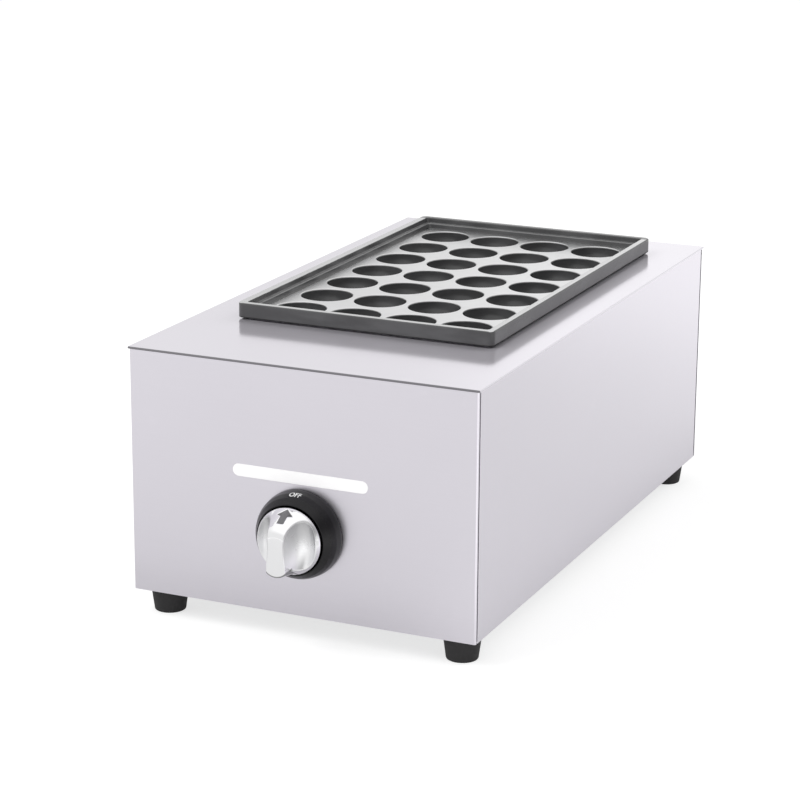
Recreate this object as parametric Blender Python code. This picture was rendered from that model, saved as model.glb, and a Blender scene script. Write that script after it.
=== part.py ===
"""A countertop gas grill for fish balls: a steel casing, a cup plate, a burner and one push-and-turn knob.

The origin is on the table, under the middle of the whole part. The knob side faces -Y and +Z is up.
"""
from math import cos, pi, radians, sin

import bmesh
import bpy
from mathutils import Matrix, Vector

# Fits and round shapes
CLEARANCE = 0.0003
OVERRUN = 0.002
WELD_DISTANCE = 0.000001
SMOOTH_ANGLE = radians(35)
ROUND_STEPS = 24
TUBE_STEPS = 16
SMALL_STEPS = 12
HEX_STEPS = 6
BEND_STEPS = 5

# Casing
CASING_WIDTH = 0.260
CASING_DEPTH = 0.470
CASING_HEIGHT = 0.175
PANEL_SHEET = 0.0012
DECK_SHEET = 0.0015
DECK_OVERHANG = 0.001
FOLD_RADIUS = 0.0015
FOLD_RETURN = 0.0025
FOLD_STEPS = 3
LAP_DEPTH = 0.017
FLANGE_WIDTH = 0.014
FLANGE_NOTCH = 0.018
FLANGE_SPACING = 0.004
PAN_RISE = 0.0155

# Feet
FOOT_HEIGHT = 0.0185
FOOT_TOP_RADIUS = 0.01325
FOOT_BOTTOM_RADIUS = 0.011
FOOT_EDGE = 0.001
FOOT_SIDE_INSET = 0.0185
FOOT_END_INSET = 0.0205
FOOT_BORE_DEPTH = 0.012
FOOT_BOLT_RADIUS = 0.0024
FOOT_BOLT_HEAD_RADIUS = 0.0045
FOOT_BOLT_HEAD = 0.0025

# Cup plate, with heights above the deck
CUP_COLUMNS = 4
CUP_ROWS = 7
CUP_STEPS = 12
CUP_RADIUS = 0.019
CUP_WALL = 0.0016
CUP_SPACING_X = 0.0015
CUP_SPACING_Y = 0.0027
CUP_STRAIGHT = 0.003
CUP_ROUND = 0.0165
CUP_RING_ANGLES = [radians(0), radians(40), radians(70)]
FLOOR_MARGIN_X = 0.00595
FLOOR_MARGIN_Y = 0.0053
FLOOR_RISE = 0.0041
FLOOR_THICKNESS = 0.004
FLOOR_WALL = 0.0012
LEDGE_DRAFT = 0.0005
LEDGE_WIDTH = 0.003
LEDGE_DROP = 0.004
LIP_WIDTH = 0.0055
LIP_DRAFT = 0.0003
LIP_EDGE = 0.0007
RIM_RISE = 0.012
RIM_CROWN = 0.003
RIM_CORNER = 0.005
RIM_CORNER_STEPS = 3
SKIRT_WALL = 0.003
SKIRT_RISE = 0.0013
PLATE_SET_BACK = 0.0295
UPSTAND_SHEET = 0.0012
UPSTAND_PLAY = 0.0009

# Sight slot and its window
SLOT_DROP = 0.077
SLOT_LENGTH = 0.101
SLOT_HEIGHT = 0.009
SLOT_STEPS = 6
WINDOW_THICKNESS = 0.002
WINDOW_BORDER = 0.005
WINDOW_RECESS = 0.0002
CLIP_SHEET = 0.0008
CLIP_HEIGHT = 0.010
CLIP_FOOT = 0.009
CLIP_TONGUE = 0.005

# Knob and bezel, with reaches in front of the panel
VALVE_SHIFT = 0.001
VALVE_DROP = 0.1155
BEZEL_RADIUS = 0.0309
BEZEL_DEPTH = 0.0165
BEZEL_FLOOR = 0.0025
BEZEL_SHAPE_SHARES = [(0.12, 1.0), (0.45, 0.975), (0.72, 0.915), (0.93, 0.835), (1.0, 0.81)]
BEZEL_PIN_RADIUS = 0.0015
BEZEL_PIN_OFFSET = 0.027
BEZEL_PIN_LENGTH = 0.0035
KNOB_RADIUS = 0.0237
KNOB_PLAY = 0.0006
KNOB_BACK = 0.008
KNOB_FACE = 0.019
KNOB_EDGE = 0.0012
KNOB_REACH = 0.039
KNOB_SHOULDER = 0.030
KNOB_SHOULDER_RADIUS = 0.0188
KNOB_CROWN_RADIUS = 0.0125
KNOB_BORE_DEPTH = 0.0085
GRIP_WIDTH = 0.014
GRIP_BOTTOM = 0.0232
GRIP_FRONT_BOTTOM = 0.018
SCOOP_OFFSET = 0.0136
SCOOP_REACH = 0.038
SCOOP_RISE = 0.002
SCOOP_RADII = (0.0086, 0.0195, 0.0205)
SCOOP_RINGS = 10
PUSH_TRAVEL = 0.004

# Gas valve, with depths behind the panel
BRACKET_SHEET = 0.0015
BRACKET_WIDTH = 0.048
BRACKET_HEIGHT = 0.032
VALVE_SCREW_OFFSET = 0.018
VALVE_SCREW_RADIUS = 0.0018
VALVE_SCREW_HEAD_RADIUS = 0.0035
VALVE_SCREW_HEAD = 0.0025
BONNET_FLANGE = 0.0035
BONNET_FLANGE_LENGTH = 0.044
BONNET_FLANGE_HEIGHT = 0.016
BONNET_RADIUS = 0.011
BONNET_LENGTH = 0.0176
BONNET_BORE = 0.007
SPINDLE_RADIUS = 0.0041
COLLAR_RADIUS = 0.0066
COLLAR_THICKNESS = 0.0012
TANG_THICKNESS = 0.002
TANG_WIDTH = 0.0066
TANG_GRIP = 0.0036
SPRING_RADIUS = 0.0056
SPRING_WIRE = 0.0005
SPRING_TURNS = 4
SPRING_TURN_STEPS = 10
VALVE_BODY_WIDTH = 0.028
VALVE_BODY_LENGTH = 0.034
PLUG_RADIUS = 0.007
PLUG_LENGTH = 0.0237
PLUG_PORT_RADIUS = 0.002
PLUG_PORT_DEPTH = 0.0137
PLUG_GROOVE_WIDTH = 0.0016
PLUG_GROOVE_DISTANCE = 0.0052
VALVE_INLET_RADIUS = 0.0065
VALVE_INLET_LENGTH = 0.006
VALVE_INLET_BORE = 0.003
JET_SPIGOT_RADIUS = 0.0037
JET_SPIGOT_LENGTH = 0.007
JET_HEX_RADIUS = 0.0065
JET_HEX_LENGTH = 0.004
JET_NOSE_RADIUS = 0.004
JET_TIP_RADIUS = 0.0025
JET_NOSE_LENGTH = 0.0095
JET_BORE = 0.0008

# Burner
SHUTTER_SPACING = 0.0025
SHUTTER_SHEET = 0.0014
SHUTTER_LENGTH = 0.011
SHUTTER_PLAY = 0.0003
AIR_HOLE_RADIUS = 0.0028
AIR_HOLE_CIRCLE = 0.0095
AIR_HOLES = 4
AIR_HOLE_STEPS = 8
AIR_BORE = 0.0055
MIXER_MOUTH_RADIUS = 0.015
MIXER_THROAT_RADIUS = 0.0095
MIXER_TAIL_RADIUS = 0.012
MIXER_WALL = 0.0015
MIXER_MOUTH_LENGTH = 0.013
MIXER_NARROWING = 0.019
MIXER_THROAT_LENGTH = 0.015
MIXER_WIDENING = 0.040
ELBOW_RADIUS = 0.024
ELBOW_STEPS = 6
MANIFOLD_LENGTH = 0.124
MANIFOLD_WIDTH = 0.024
MANIFOLD_HEIGHT = 0.018
MANIFOLD_WALL = 0.002
BURNER_TUBES = {"left": -0.046, "centre": 0.0, "right": 0.046}
BURNER_TUBE_RADIUS = 0.0105
BURNER_TUBE_WALL = 0.0015
BURNER_TUBE_LENGTH = 0.280
BURNER_FEED_RADIUS = 0.006
BURNER_PORTS = 12
BURNER_PORT_WIDTH = 0.0018
BURNER_PORT_RISE = 0.006
BURNER_PORT_MARGIN = 0.012
SUPPORT_SPACING = 0.110
SUPPORT_SHEET = 0.0015
SUPPORT_WIDTH = 0.132
SUPPORT_FOOT = 0.014

# Heat shields
SHIELD_SHEET = 0.001
SHIELD_SPACING = 0.015
SHIELD_BOTTOM = 0.060
SHIELD_HEADROOM = 0.004
SHIELD_FOOT = 0.012
SHIELD_END_SPACING = 0.0105
SHIELD_TUBE_HOLE = 0.0165

# Ignition and flame probe
PROBE_OFFSET = 0.023
PROBE_STAND_OFF = 0.009
PROBE_TAB_SHEET = 0.0012
PROBE_TAB_WIDTH = 0.016
PROBE_TAB_DROP = 0.012
PROBE_TAB_HEIGHT = 0.015
INSULATOR_RADIUS = 0.0035
INSULATOR_COLLAR_RADIUS = 0.0052
INSULATOR_COLLAR = 0.0037
INSULATOR_ABOVE = 0.019
INSULATOR_BELOW = 0.019
ELECTRODE_RADIUS = 0.0011
ELECTRODE_TAIL = 0.003
SPARK_GAP = 0.005
THERMO_RADIUS = 0.0024
THERMO_COLLAR_RADIUS = 0.0045
LEAD_RADIUS = 0.0015
IGNITER_RADIUS = 0.0065
IGNITER_LENGTH = 0.030
IGNITER_OFFSET = 0.0068
PORT_LEAD_OFFSET = 0.0072
LEAD_HOLE_RADIUS = 0.003
LEAD_LEVEL = 0.048

# Gas supply
PIPE_SIDE_INSET = 0.040
PIPE_LEVEL = 0.045
PIPE_RADIUS = 0.004
PIPE_BEND = 0.015
PIPE_NUT_RADIUS = 0.008
PIPE_NUT_LENGTH = 0.010
INLET_REACH = 0.028
INLET_TAIL = 0.022
INLET_RADIUS = 0.0065
INLET_BORE = 0.0032
INLET_FLANGE_RADIUS = 0.011
INLET_FLANGE = 0.008
INLET_NUT = 0.006
PIPE_CLIP_WALL = 0.0018
PIPE_CLIP_DEPTH = 0.010
PIPE_CLIP_BASE = 0.016

# Air slots, vents and panel screws
AIR_SLOT_COLUMNS = 3
AIR_SLOT_ROWS = 4
AIR_SLOT_LENGTH = 0.046
AIR_SLOT_WIDTH = 0.010
AIR_SLOT_SPACING_X = 0.016
AIR_SLOT_PITCH_Y = 0.040
AIR_SLOT_SHIFT = 0.050
VENT_COLUMNS = 7
VENT_ROWS = 2
VENT_PITCH_X = 0.022
VENT_PITCH_Z = 0.042
VENT_WIDTH = 0.005
VENT_LENGTH = 0.030
SLOT_END_STEPS = 3
VENT_DROP = 0.040
PANEL_SCREW_INSET = 0.030
PANEL_SCREW_RISE = 0.0085
PANEL_SCREW_RADIUS = 0.002
PANEL_SCREW_HEAD_RADIUS = 0.004
PANEL_SCREW_HEAD = 0.0025
PANEL_SCREW_LENGTH = 0.010

# Places that follow from the sizes above
CASING_BOTTOM = FOOT_HEIGHT
DECK_TOP = CASING_BOTTOM + CASING_HEIGHT
PANEL_TOP = DECK_TOP - DECK_SHEET - CLEARANCE
PAN_TOP = CASING_BOTTOM + PANEL_SHEET
SEAT = PAN_TOP + CLEARANCE
HALF_WIDTH = CASING_WIDTH / 2 - DECK_OVERHANG
INNER_HALF_WIDTH = HALF_WIDTH - PANEL_SHEET - CLEARANCE
REACH = KNOB_REACH - DECK_OVERHANG
FRONT = (REACH - CASING_DEPTH - INLET_REACH) / 2
BACK = FRONT + CASING_DEPTH
PANEL_FRONT = FRONT + DECK_OVERHANG
PANEL_REAR = BACK - DECK_OVERHANG
PANEL_BACK = PANEL_FRONT + PANEL_SHEET
CUP_OUTER = CUP_RADIUS + CUP_WALL
CUP_PITCH_X = 2 * CUP_OUTER + CUP_SPACING_X
CUP_PITCH_Y = 2 * CUP_OUTER + CUP_SPACING_Y
FLOOR_HALF = Vector((
    CUP_PITCH_X * (CUP_COLUMNS - 1) / 2 + CUP_RADIUS + FLOOR_MARGIN_X,
    CUP_PITCH_Y * (CUP_ROWS - 1) / 2 + CUP_RADIUS + FLOOR_MARGIN_Y,
))
LEDGE_INSET = LEDGE_DRAFT + LEDGE_WIDTH
GROOVE_INSET = LEDGE_DRAFT + FLOOR_WALL
RIM_INSET = LEDGE_INSET + LIP_WIDTH
LEDGE_RISE = RIM_RISE - LEDGE_DROP
GROOVE_RISE = LEDGE_RISE - RIM_CROWN
UPSTAND_INSET = GROOVE_INSET + UPSTAND_PLAY
PLATE_Y = (FRONT + BACK) / 2 + PLATE_SET_BACK
VALVE = Vector((VALVE_SHIFT, PANEL_BACK, DECK_TOP - VALVE_DROP))
BRACKET_BACK = CLEARANCE + BRACKET_SHEET
BONNET_FRONT = BRACKET_BACK + CLEARANCE
BONNET_BACK = BONNET_FRONT + BONNET_LENGTH
COLLAR_FRONT = BONNET_FRONT + BONNET_FLANGE + CLEARANCE
COLLAR_BACK = COLLAR_FRONT + COLLAR_THICKNESS
VALVE_BODY_FRONT = BONNET_BACK + CLEARANCE
VALVE_BODY_BACK = VALVE_BODY_FRONT + VALVE_BODY_LENGTH
PLUG_FRONT = VALVE_BODY_FRONT + CLEARANCE
PLUG_BACK = PLUG_FRONT + PLUG_LENGTH
ROD_BACK = PLUG_FRONT - PUSH_TRAVEL - CLEARANCE
TANG_BACK = PLUG_FRONT + TANG_GRIP
PORT_DEPTH = PLUG_FRONT + PLUG_PORT_DEPTH
JET_HEX_BACK = VALVE_BODY_BACK + CLEARANCE + JET_HEX_LENGTH
SHUTTER_FRONT = JET_HEX_BACK + SHUTTER_SPACING
MIXER_FRONT = SHUTTER_FRONT + SHUTTER_SHEET + SHUTTER_PLAY
MIXER_BACK = PLATE_Y - ELBOW_RADIUS - CLEARANCE - PANEL_BACK
ELBOW_TOP = VALVE.z + ELBOW_RADIUS
MANIFOLD_BOTTOM = ELBOW_TOP + CLEARANCE
MANIFOLD_TOP = MANIFOLD_BOTTOM + MANIFOLD_HEIGHT
BURNER_LEVEL = MANIFOLD_TOP + CLEARANCE + BURNER_TUBE_RADIUS
SUPPORT_FRONT = PLATE_Y - SUPPORT_SPACING
SHIELD_X = FLOOR_HALF.x + UPSTAND_INSET + UPSTAND_SHEET + SHIELD_SPACING
PLATE_HALF_LENGTH = FLOOR_HALF.y + RIM_INSET
SHIELD_FRONT = PLATE_Y - PLATE_HALF_LENGTH - SHIELD_END_SPACING
SHIELD_REAR = PLATE_Y + PLATE_HALF_LENGTH + SHIELD_END_SPACING
PIPE_OFFSET = CASING_WIDTH / 2 - PIPE_SIDE_INSET
PIPE_Y = PANEL_BACK + PORT_DEPTH


def plain(name, colour, roughness, metallic):
    """A Principled material of one colour."""
    made = bpy.data.materials.new(name)
    made.use_nodes = True
    shader = made.node_tree.nodes["Principled BSDF"]
    shader.inputs["Base Color"].default_value = (*colour, 1)
    shader.inputs["Roughness"].default_value = roughness
    shader.inputs["Metallic"].default_value = metallic
    return made


for leftover in list(bpy.data.objects):
    bpy.data.objects.remove(leftover)

STEEL = plain("stainless_sheet", (0.66, 0.65, 0.67), 0.35, 1.0)
PLATED = plain("galvanised_sheet", (0.55, 0.56, 0.57), 0.45, 1.0)
COATED = plain("coated_aluminium", (0.10, 0.10, 0.105), 0.35, 0.4)
CHROME = plain("chromed_metal", (0.85, 0.85, 0.86), 0.12, 1.0)
BLACK = plain("black_plastic", (0.03, 0.03, 0.033), 0.3, 0.0)
RUBBER = plain("black_rubber", (0.035, 0.033, 0.035), 0.7, 0.0)
OPAL = plain("opal_glass", (0.95, 0.95, 0.95), 0.2, 0.0)
BRASS = plain("brass", (0.72, 0.53, 0.24), 0.3, 1.0)
CASTING = plain("cast_aluminium", (0.58, 0.58, 0.60), 0.5, 1.0)
IRON = plain("cast_iron", (0.09, 0.085, 0.08), 0.7, 0.6)
COPPER = plain("copper", (0.72, 0.38, 0.24), 0.3, 1.0)
CERAMIC = plain("white_ceramic", (0.88, 0.87, 0.83), 0.3, 0.0)
LEAD = plain("red_silicone", (0.45, 0.05, 0.04), 0.5, 0.0)
ZINC = plain("zinc_plated_steel", (0.62, 0.63, 0.65), 0.3, 1.0)


def add_box(bm, low, high):
    """A box between two corners."""
    low, high = Vector(low), Vector(high)
    corners = bmesh.ops.create_cube(bm, size=1)["verts"]
    bmesh.ops.scale(bm, vec=high - low, verts=corners)
    bmesh.ops.translate(bm, vec=(low + high) / 2, verts=corners)


def laid(along, u, v, height):
    """The point (u, v) of an outline, at a height along the named axis."""
    return Vector({"x": (height, u, v), "y": (u, height, v), "z": (u, v, height)}[along])


def add_prism(bm, outline, low, high, along="z"):
    """An outline extruded along one axis."""
    face = bm.faces.new([bm.verts.new(laid(along, u, v, low)) for u, v in outline])
    made = bmesh.ops.extrude_face_region(bm, geom=[face])["geom"]
    far_end = [item for item in made if isinstance(item, bmesh.types.BMVert)]
    bmesh.ops.translate(bm, vec=laid(along, 0, 0, high - low), verts=far_end)


def add_turned(bm, profile, centre, along=(0, 1, 0), steps=ROUND_STEPS):
    """A profile of (distance along the axis, radius) points, turned once round the axis."""
    centre, axis = Vector(centre), Vector(along)
    side = axis.orthogonal().normalized()
    points = [bm.verts.new(centre + axis * run + side * radius) for run, radius in profile]
    pairs = list(zip(points, points[1:]))
    if profile[0][1] or profile[-1][1]:
        pairs.append((points[-1], points[0]))
    edges = [bm.edges.new(pair) for pair in pairs]
    bmesh.ops.spin(
        bm, geom=points + edges, cent=centre, axis=axis, angle=2 * pi, steps=steps, use_merge=True
    )


def add_rod(bm, start, end, radius, centre, along=(0, 1, 0), steps=SMALL_STEPS):
    """A plain round bar, between two distances along its axis."""
    profile = [(start, 0), (start, radius), (end, radius), (end, 0)]
    add_turned(bm, profile, centre, along, steps)


def add_skin(bm, rings):
    """Quads between each ring of points and the next, and from the last ring back to the first."""
    rows = [[bm.verts.new(point) for point in ring] for ring in rings]
    for row, following in zip(rows, rows[1:] + rows[:1]):
        for here in range(len(row)):
            there = (here + 1) % len(row)
            bm.faces.new((row[here], row[there], following[there], following[here]))
    return rows


def obround(centre_u, centre_v, length, width, steps=SLOT_STEPS, upright=False):
    """The outline of a slot with round ends."""
    radius = width / 2
    straight = length / 2 - radius
    points = []
    for end, first in ((1, -pi / 2), (-1, pi / 2)):
        for step in range(steps + 1):
            angle = first + pi * step / steps
            points.append((end * straight + radius * cos(angle), radius * sin(angle)))
    if upright:
        points = [(-v, u) for u, v in points]
    return [(centre_u + u, centre_v + v) for u, v in points]


def rounded_rectangle(half_x, half_y, corner, z, centre_y=0):
    """The points of a flat rectangle with round corners, anticlockwise from +X."""
    points = []
    for quarter, (sign_x, sign_y) in enumerate(((1, 1), (-1, 1), (-1, -1), (1, -1))):
        for step in range(RIM_CORNER_STEPS + 1):
            angle = pi / 2 * (quarter + step / RIM_CORNER_STEPS)
            x = sign_x * (half_x - corner) + corner * cos(angle)
            y = sign_y * (half_y - corner) + corner * sin(angle)
            points.append(Vector((x, centre_y + y, z)))
    return points


def rounded_route(corners, bend=PIPE_BEND):
    """The corners of a wire or pipe, each bend rounded off."""
    corners = [Vector(corner) for corner in corners]
    points = [corners[0]]
    for before, corner, after in zip(corners, corners[1:], corners[2:]):
        leave = corner + (before - corner).normalized() * min(bend, (before - corner).length / 2)
        join = corner + (after - corner).normalized() * min(bend, (after - corner).length / 2)
        for step in range(BEND_STEPS + 1):
            share = step / BEND_STEPS
            points.append(leave.lerp(corner, share).lerp(corner.lerp(join, share), share))
    points.append(corners[-1])
    spaced = [points[0]]
    for point in points[1:]:
        if (point - spaced[-1]).length > WELD_DISTANCE:
            spaced.append(point)
    return spaced


def helper(bm, name):
    """A shape that only cuts or joins, and is not part of the object."""
    made = piece(name, bm, None)
    made.hide_render = True
    made.display_type = "WIRE"
    return made


def change(target, bm, operation):
    modifier = target.modifiers.new(operation.lower(), "BOOLEAN")
    modifier.operation = operation
    modifier.object = helper(bm, target.name + "_" + operation.lower())


def cut(target, bm):
    """Takes the shape away from the piece."""
    change(target, bm, "DIFFERENCE")


def join(target, bm):
    """Makes the shape one solid with the piece."""
    change(target, bm, "UNION")


def piece(name, bm, material, pivot=None):
    """The object made of a mesh in world coordinates. A moving piece hangs on its pivot."""
    bmesh.ops.remove_doubles(bm, verts=bm.verts, dist=WELD_DISTANCE)
    bmesh.ops.recalc_face_normals(bm, faces=bm.faces)
    mesh = bpy.data.meshes.new(name)
    bm.to_mesh(mesh)
    bm.free()
    mesh.shade_smooth()
    mesh.set_sharp_from_angle(angle=SMOOTH_ANGLE)
    if material:
        mesh.materials.append(material)
    made = bpy.data.objects.new(name, mesh)
    bpy.context.scene.collection.objects.link(made)
    if pivot:
        mesh.transform(Matrix.Translation(-pivot.location))
        made.parent = pivot
    return made


def pivot_at(name, place):
    """An empty on a joint's axis."""
    made = bpy.data.objects.new(name, None)
    made.location = place
    bpy.context.scene.collection.objects.link(made)
    return made


def wire(name, points, radius, material, resolution=1, pivot=None):
    """A round wire or pipe along points."""
    offset = pivot.location if pivot else Vector()
    curve = bpy.data.curves.new(name, "CURVE")
    curve.dimensions = "3D"
    curve.bevel_depth = radius
    curve.bevel_resolution = resolution
    curve.use_fill_caps = True
    curve.materials.append(material)
    spline = curve.splines.new("POLY")
    spline.points.add(len(points) - 1)
    for knot, point in zip(spline.points, points):
        knot.co = (*(point - offset), 1)
    made = bpy.data.objects.new(name, curve)
    made.parent = pivot
    bpy.context.scene.collection.objects.link(made)
    return made


def deck():
    """The top sheet, with a cut-out and an upstand that carries the cup plate and keeps spills out."""
    half = FLOOR_HALF + Vector((UPSTAND_INSET, UPSTAND_INSET))
    outer = half + Vector((UPSTAND_SHEET, UPSTAND_SHEET))
    corner = RIM_CORNER - (RIM_INSET - UPSTAND_INSET) + UPSTAND_SHEET
    corner = max(corner, UPSTAND_SHEET)
    upstand_top = DECK_TOP + GROOVE_RISE - CLEARANCE
    middle = (FRONT + BACK) / 2
    edge = (CASING_WIDTH / 2, CASING_DEPTH / 2, DECK_OVERHANG)
    bm = bmesh.new()
    add_skin(bm, [
        rounded_rectangle(*edge, DECK_TOP - DECK_SHEET, middle),
        rounded_rectangle(*edge, DECK_TOP, middle),
        rounded_rectangle(*outer, corner, DECK_TOP, PLATE_Y),
        rounded_rectangle(*outer, corner, upstand_top, PLATE_Y),
        rounded_rectangle(*half, corner, upstand_top, PLATE_Y),
        rounded_rectangle(*half, corner, DECK_TOP - DECK_SHEET, PLATE_Y),
    ])
    return piece("deck", bm, STEEL)


def end_panel(name, face, inward):
    """The front or back panel: a face folded round at both sides, with laps behind the side panels."""
    fold_end = face + inward * FOLD_RETURN
    inner = face + inward * PANEL_SHEET
    outline = []
    for side in (1, -1):
        fold = []
        for step in range(FOLD_STEPS + 1):
            angle = pi / 2 * step / FOLD_STEPS
            x = HALF_WIDTH - FOLD_RADIUS + FOLD_RADIUS * cos(angle)
            y = face + inward * FOLD_RADIUS * (1 - sin(angle))
            fold.append((side * x, y))
        stretch = [(side * HALF_WIDTH, fold_end)] + fold
        outline += stretch if side > 0 else stretch[::-1]
    inset = HALF_WIDTH - PANEL_SHEET
    outline += [(-inset, fold_end), (-inset, inner), (inset, inner), (inset, fold_end)]
    bm = bmesh.new()
    add_prism(bm, outline, CASING_BOTTOM, PANEL_TOP)
    panel = piece(name, bm, STEEL)
    root = face + inward * PANEL_SHEET / 2
    flanges = bmesh.new()
    for side in (1, -1):
        ends = sorted((side * INNER_HALF_WIDTH, side * (INNER_HALF_WIDTH - PANEL_SHEET)))
        spans = sorted((root, face + inward * LAP_DEPTH))
        top = PANEL_TOP - PANEL_SHEET - CLEARANCE
        add_box(flanges, (ends[0], spans[0], SEAT), (ends[1], spans[1], top))
    spans = sorted((root, face + inward * FLANGE_WIDTH))
    reach = HALF_WIDTH - FLANGE_NOTCH
    add_box(flanges, (-reach, spans[0], PANEL_TOP - PANEL_SHEET), (reach, spans[1], PANEL_TOP))
    join(panel, flanges)
    return panel


def front_panel():
    """The front, with the sight slot, the spindle hole and two holes for the bezel's pins."""
    panel = end_panel("front_panel", PANEL_FRONT, 1)
    low, high = PANEL_FRONT - OVERRUN, PANEL_BACK + OVERRUN
    holes = bmesh.new()
    add_prism(holes, obround(0, DECK_TOP - SLOT_DROP, SLOT_LENGTH, SLOT_HEIGHT), low, high, "y")
    add_rod(holes, low - VALVE.y, high - VALVE.y, SPINDLE_RADIUS + CLEARANCE, VALVE)
    for side in (1, -1):
        centre = VALVE + Vector((0, 0, side * BEZEL_PIN_OFFSET))
        add_rod(holes, low - VALVE.y, high - VALVE.y, BEZEL_PIN_RADIUS + CLEARANCE, centre)
    cut(panel, holes)


def vents(low, high):
    """The upright vent slots of the back panel, as one cutter."""
    bm = bmesh.new()
    for column in range(VENT_COLUMNS):
        for row in range(VENT_ROWS):
            x = (column - (VENT_COLUMNS - 1) / 2) * VENT_PITCH_X
            z = DECK_TOP - VENT_DROP - row * VENT_PITCH_Z
            add_prism(bm, obround(x, z, VENT_LENGTH, VENT_WIDTH, SLOT_END_STEPS, True), low, high, "y")
    return bm


def inlet_place():
    return Vector((-PIPE_OFFSET, PANEL_REAR, PIPE_LEVEL))


def panel_screw_places():
    """Where the back panel is screwed to the pan's upturned edge, by side."""
    x = CASING_WIDTH / 2 - PANEL_SCREW_INSET
    return {
        "left": Vector((-x, PANEL_REAR, CASING_BOTTOM + PANEL_SCREW_RISE)),
        "right": Vector((x, PANEL_REAR, CASING_BOTTOM + PANEL_SCREW_RISE)),
    }


def back_panel():
    """The back, with vents, the gas inlet's hole and two screw holes."""
    panel = end_panel("back_panel", PANEL_REAR, -1)
    low, high = PANEL_REAR - PANEL_SHEET - OVERRUN, PANEL_REAR + OVERRUN
    holes = vents(low, high)
    add_rod(holes, low - PANEL_REAR, OVERRUN, INLET_RADIUS + CLEARANCE, inlet_place())
    for place in panel_screw_places().values():
        add_rod(holes, low - PANEL_REAR, OVERRUN, PANEL_SCREW_RADIUS + CLEARANCE, place)
    cut(panel, holes)


def side_panels():
    """The two plain sides, each with a flange under the deck."""
    end = FOLD_RETURN + CLEARANCE
    flange_end = LAP_DEPTH + FLANGE_SPACING
    for name, side in (("left_side_panel", -1), ("right_side_panel", 1)):
        near, far = sorted((side * HALF_WIDTH, side * (HALF_WIDTH - PANEL_SHEET)))
        bm = bmesh.new()
        add_box(bm, (near, PANEL_FRONT + end, CASING_BOTTOM), (far, PANEL_REAR - end, PANEL_TOP))
        panel = piece(name, bm, STEEL)
        flange = bmesh.new()
        near, far = sorted((side * (HALF_WIDTH - PANEL_SHEET / 2), side * (HALF_WIDTH - FLANGE_WIDTH)))
        add_box(
            flange,
            (near, PANEL_FRONT + flange_end, PANEL_TOP - PANEL_SHEET),
            (far, PANEL_REAR - flange_end, PANEL_TOP),
        )
        join(panel, flange)


def foot_places():
    """The middle of each foot on the table, by corner."""
    x = CASING_WIDTH / 2 - FOOT_SIDE_INSET
    return {
        "front_left": Vector((-x, FRONT + FOOT_END_INSET, 0)),
        "front_right": Vector((x, FRONT + FOOT_END_INSET, 0)),
        "rear_left": Vector((-x, BACK - FOOT_END_INSET, 0)),
        "rear_right": Vector((x, BACK - FOOT_END_INSET, 0)),
    }


def bottom_pan():
    """The bottom sheet with upturned edges, air slots under the burner and holes for the feet."""
    front = PANEL_BACK + CLEARANCE
    rear = PANEL_REAR - PANEL_SHEET - CLEARANCE
    rise = CASING_BOTTOM + PAN_RISE
    side_end = LAP_DEPTH + FLANGE_SPACING
    reach = HALF_WIDTH - FLANGE_NOTCH
    bm = bmesh.new()
    add_box(bm, (-INNER_HALF_WIDTH, front, CASING_BOTTOM), (INNER_HALF_WIDTH, rear, PAN_TOP))
    pan = piece("bottom_pan", bm, PLATED)
    edges = bmesh.new()
    for side in (1, -1):
        near, far = sorted((side * INNER_HALF_WIDTH, side * (INNER_HALF_WIDTH - PANEL_SHEET)))
        root = CASING_BOTTOM + PANEL_SHEET / 2
        add_box(edges, (near, PANEL_FRONT + side_end, root), (far, PANEL_REAR - side_end, rise))
    add_box(edges, (-reach, front, root), (reach, front + PANEL_SHEET, rise))
    add_box(edges, (-reach, rear - PANEL_SHEET, root), (reach, rear, rise))
    join(pan, edges)
    low, high = CASING_BOTTOM - OVERRUN, PAN_TOP + OVERRUN
    holes = bmesh.new()
    for column in range(AIR_SLOT_COLUMNS):
        for row in range(AIR_SLOT_ROWS):
            x = (column - (AIR_SLOT_COLUMNS - 1) / 2) * (AIR_SLOT_LENGTH + AIR_SLOT_SPACING_X)
            y = PLATE_Y + (row - (AIR_SLOT_ROWS - 1) / 2) * AIR_SLOT_PITCH_Y
            outline = obround(x, y, AIR_SLOT_LENGTH, AIR_SLOT_WIDTH, SLOT_END_STEPS)
            add_prism(holes, outline, low, high)
    for place in foot_places().values():
        add_rod(holes, low, high, FOOT_BOLT_RADIUS + CLEARANCE, place, (0, 0, 1))
    for place in panel_screw_places().values():
        start = rear - PANEL_SHEET - OVERRUN - PANEL_REAR
        add_rod(holes, start, 0, PANEL_SCREW_RADIUS + CLEARANCE, place)
    cut(pan, holes)


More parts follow.
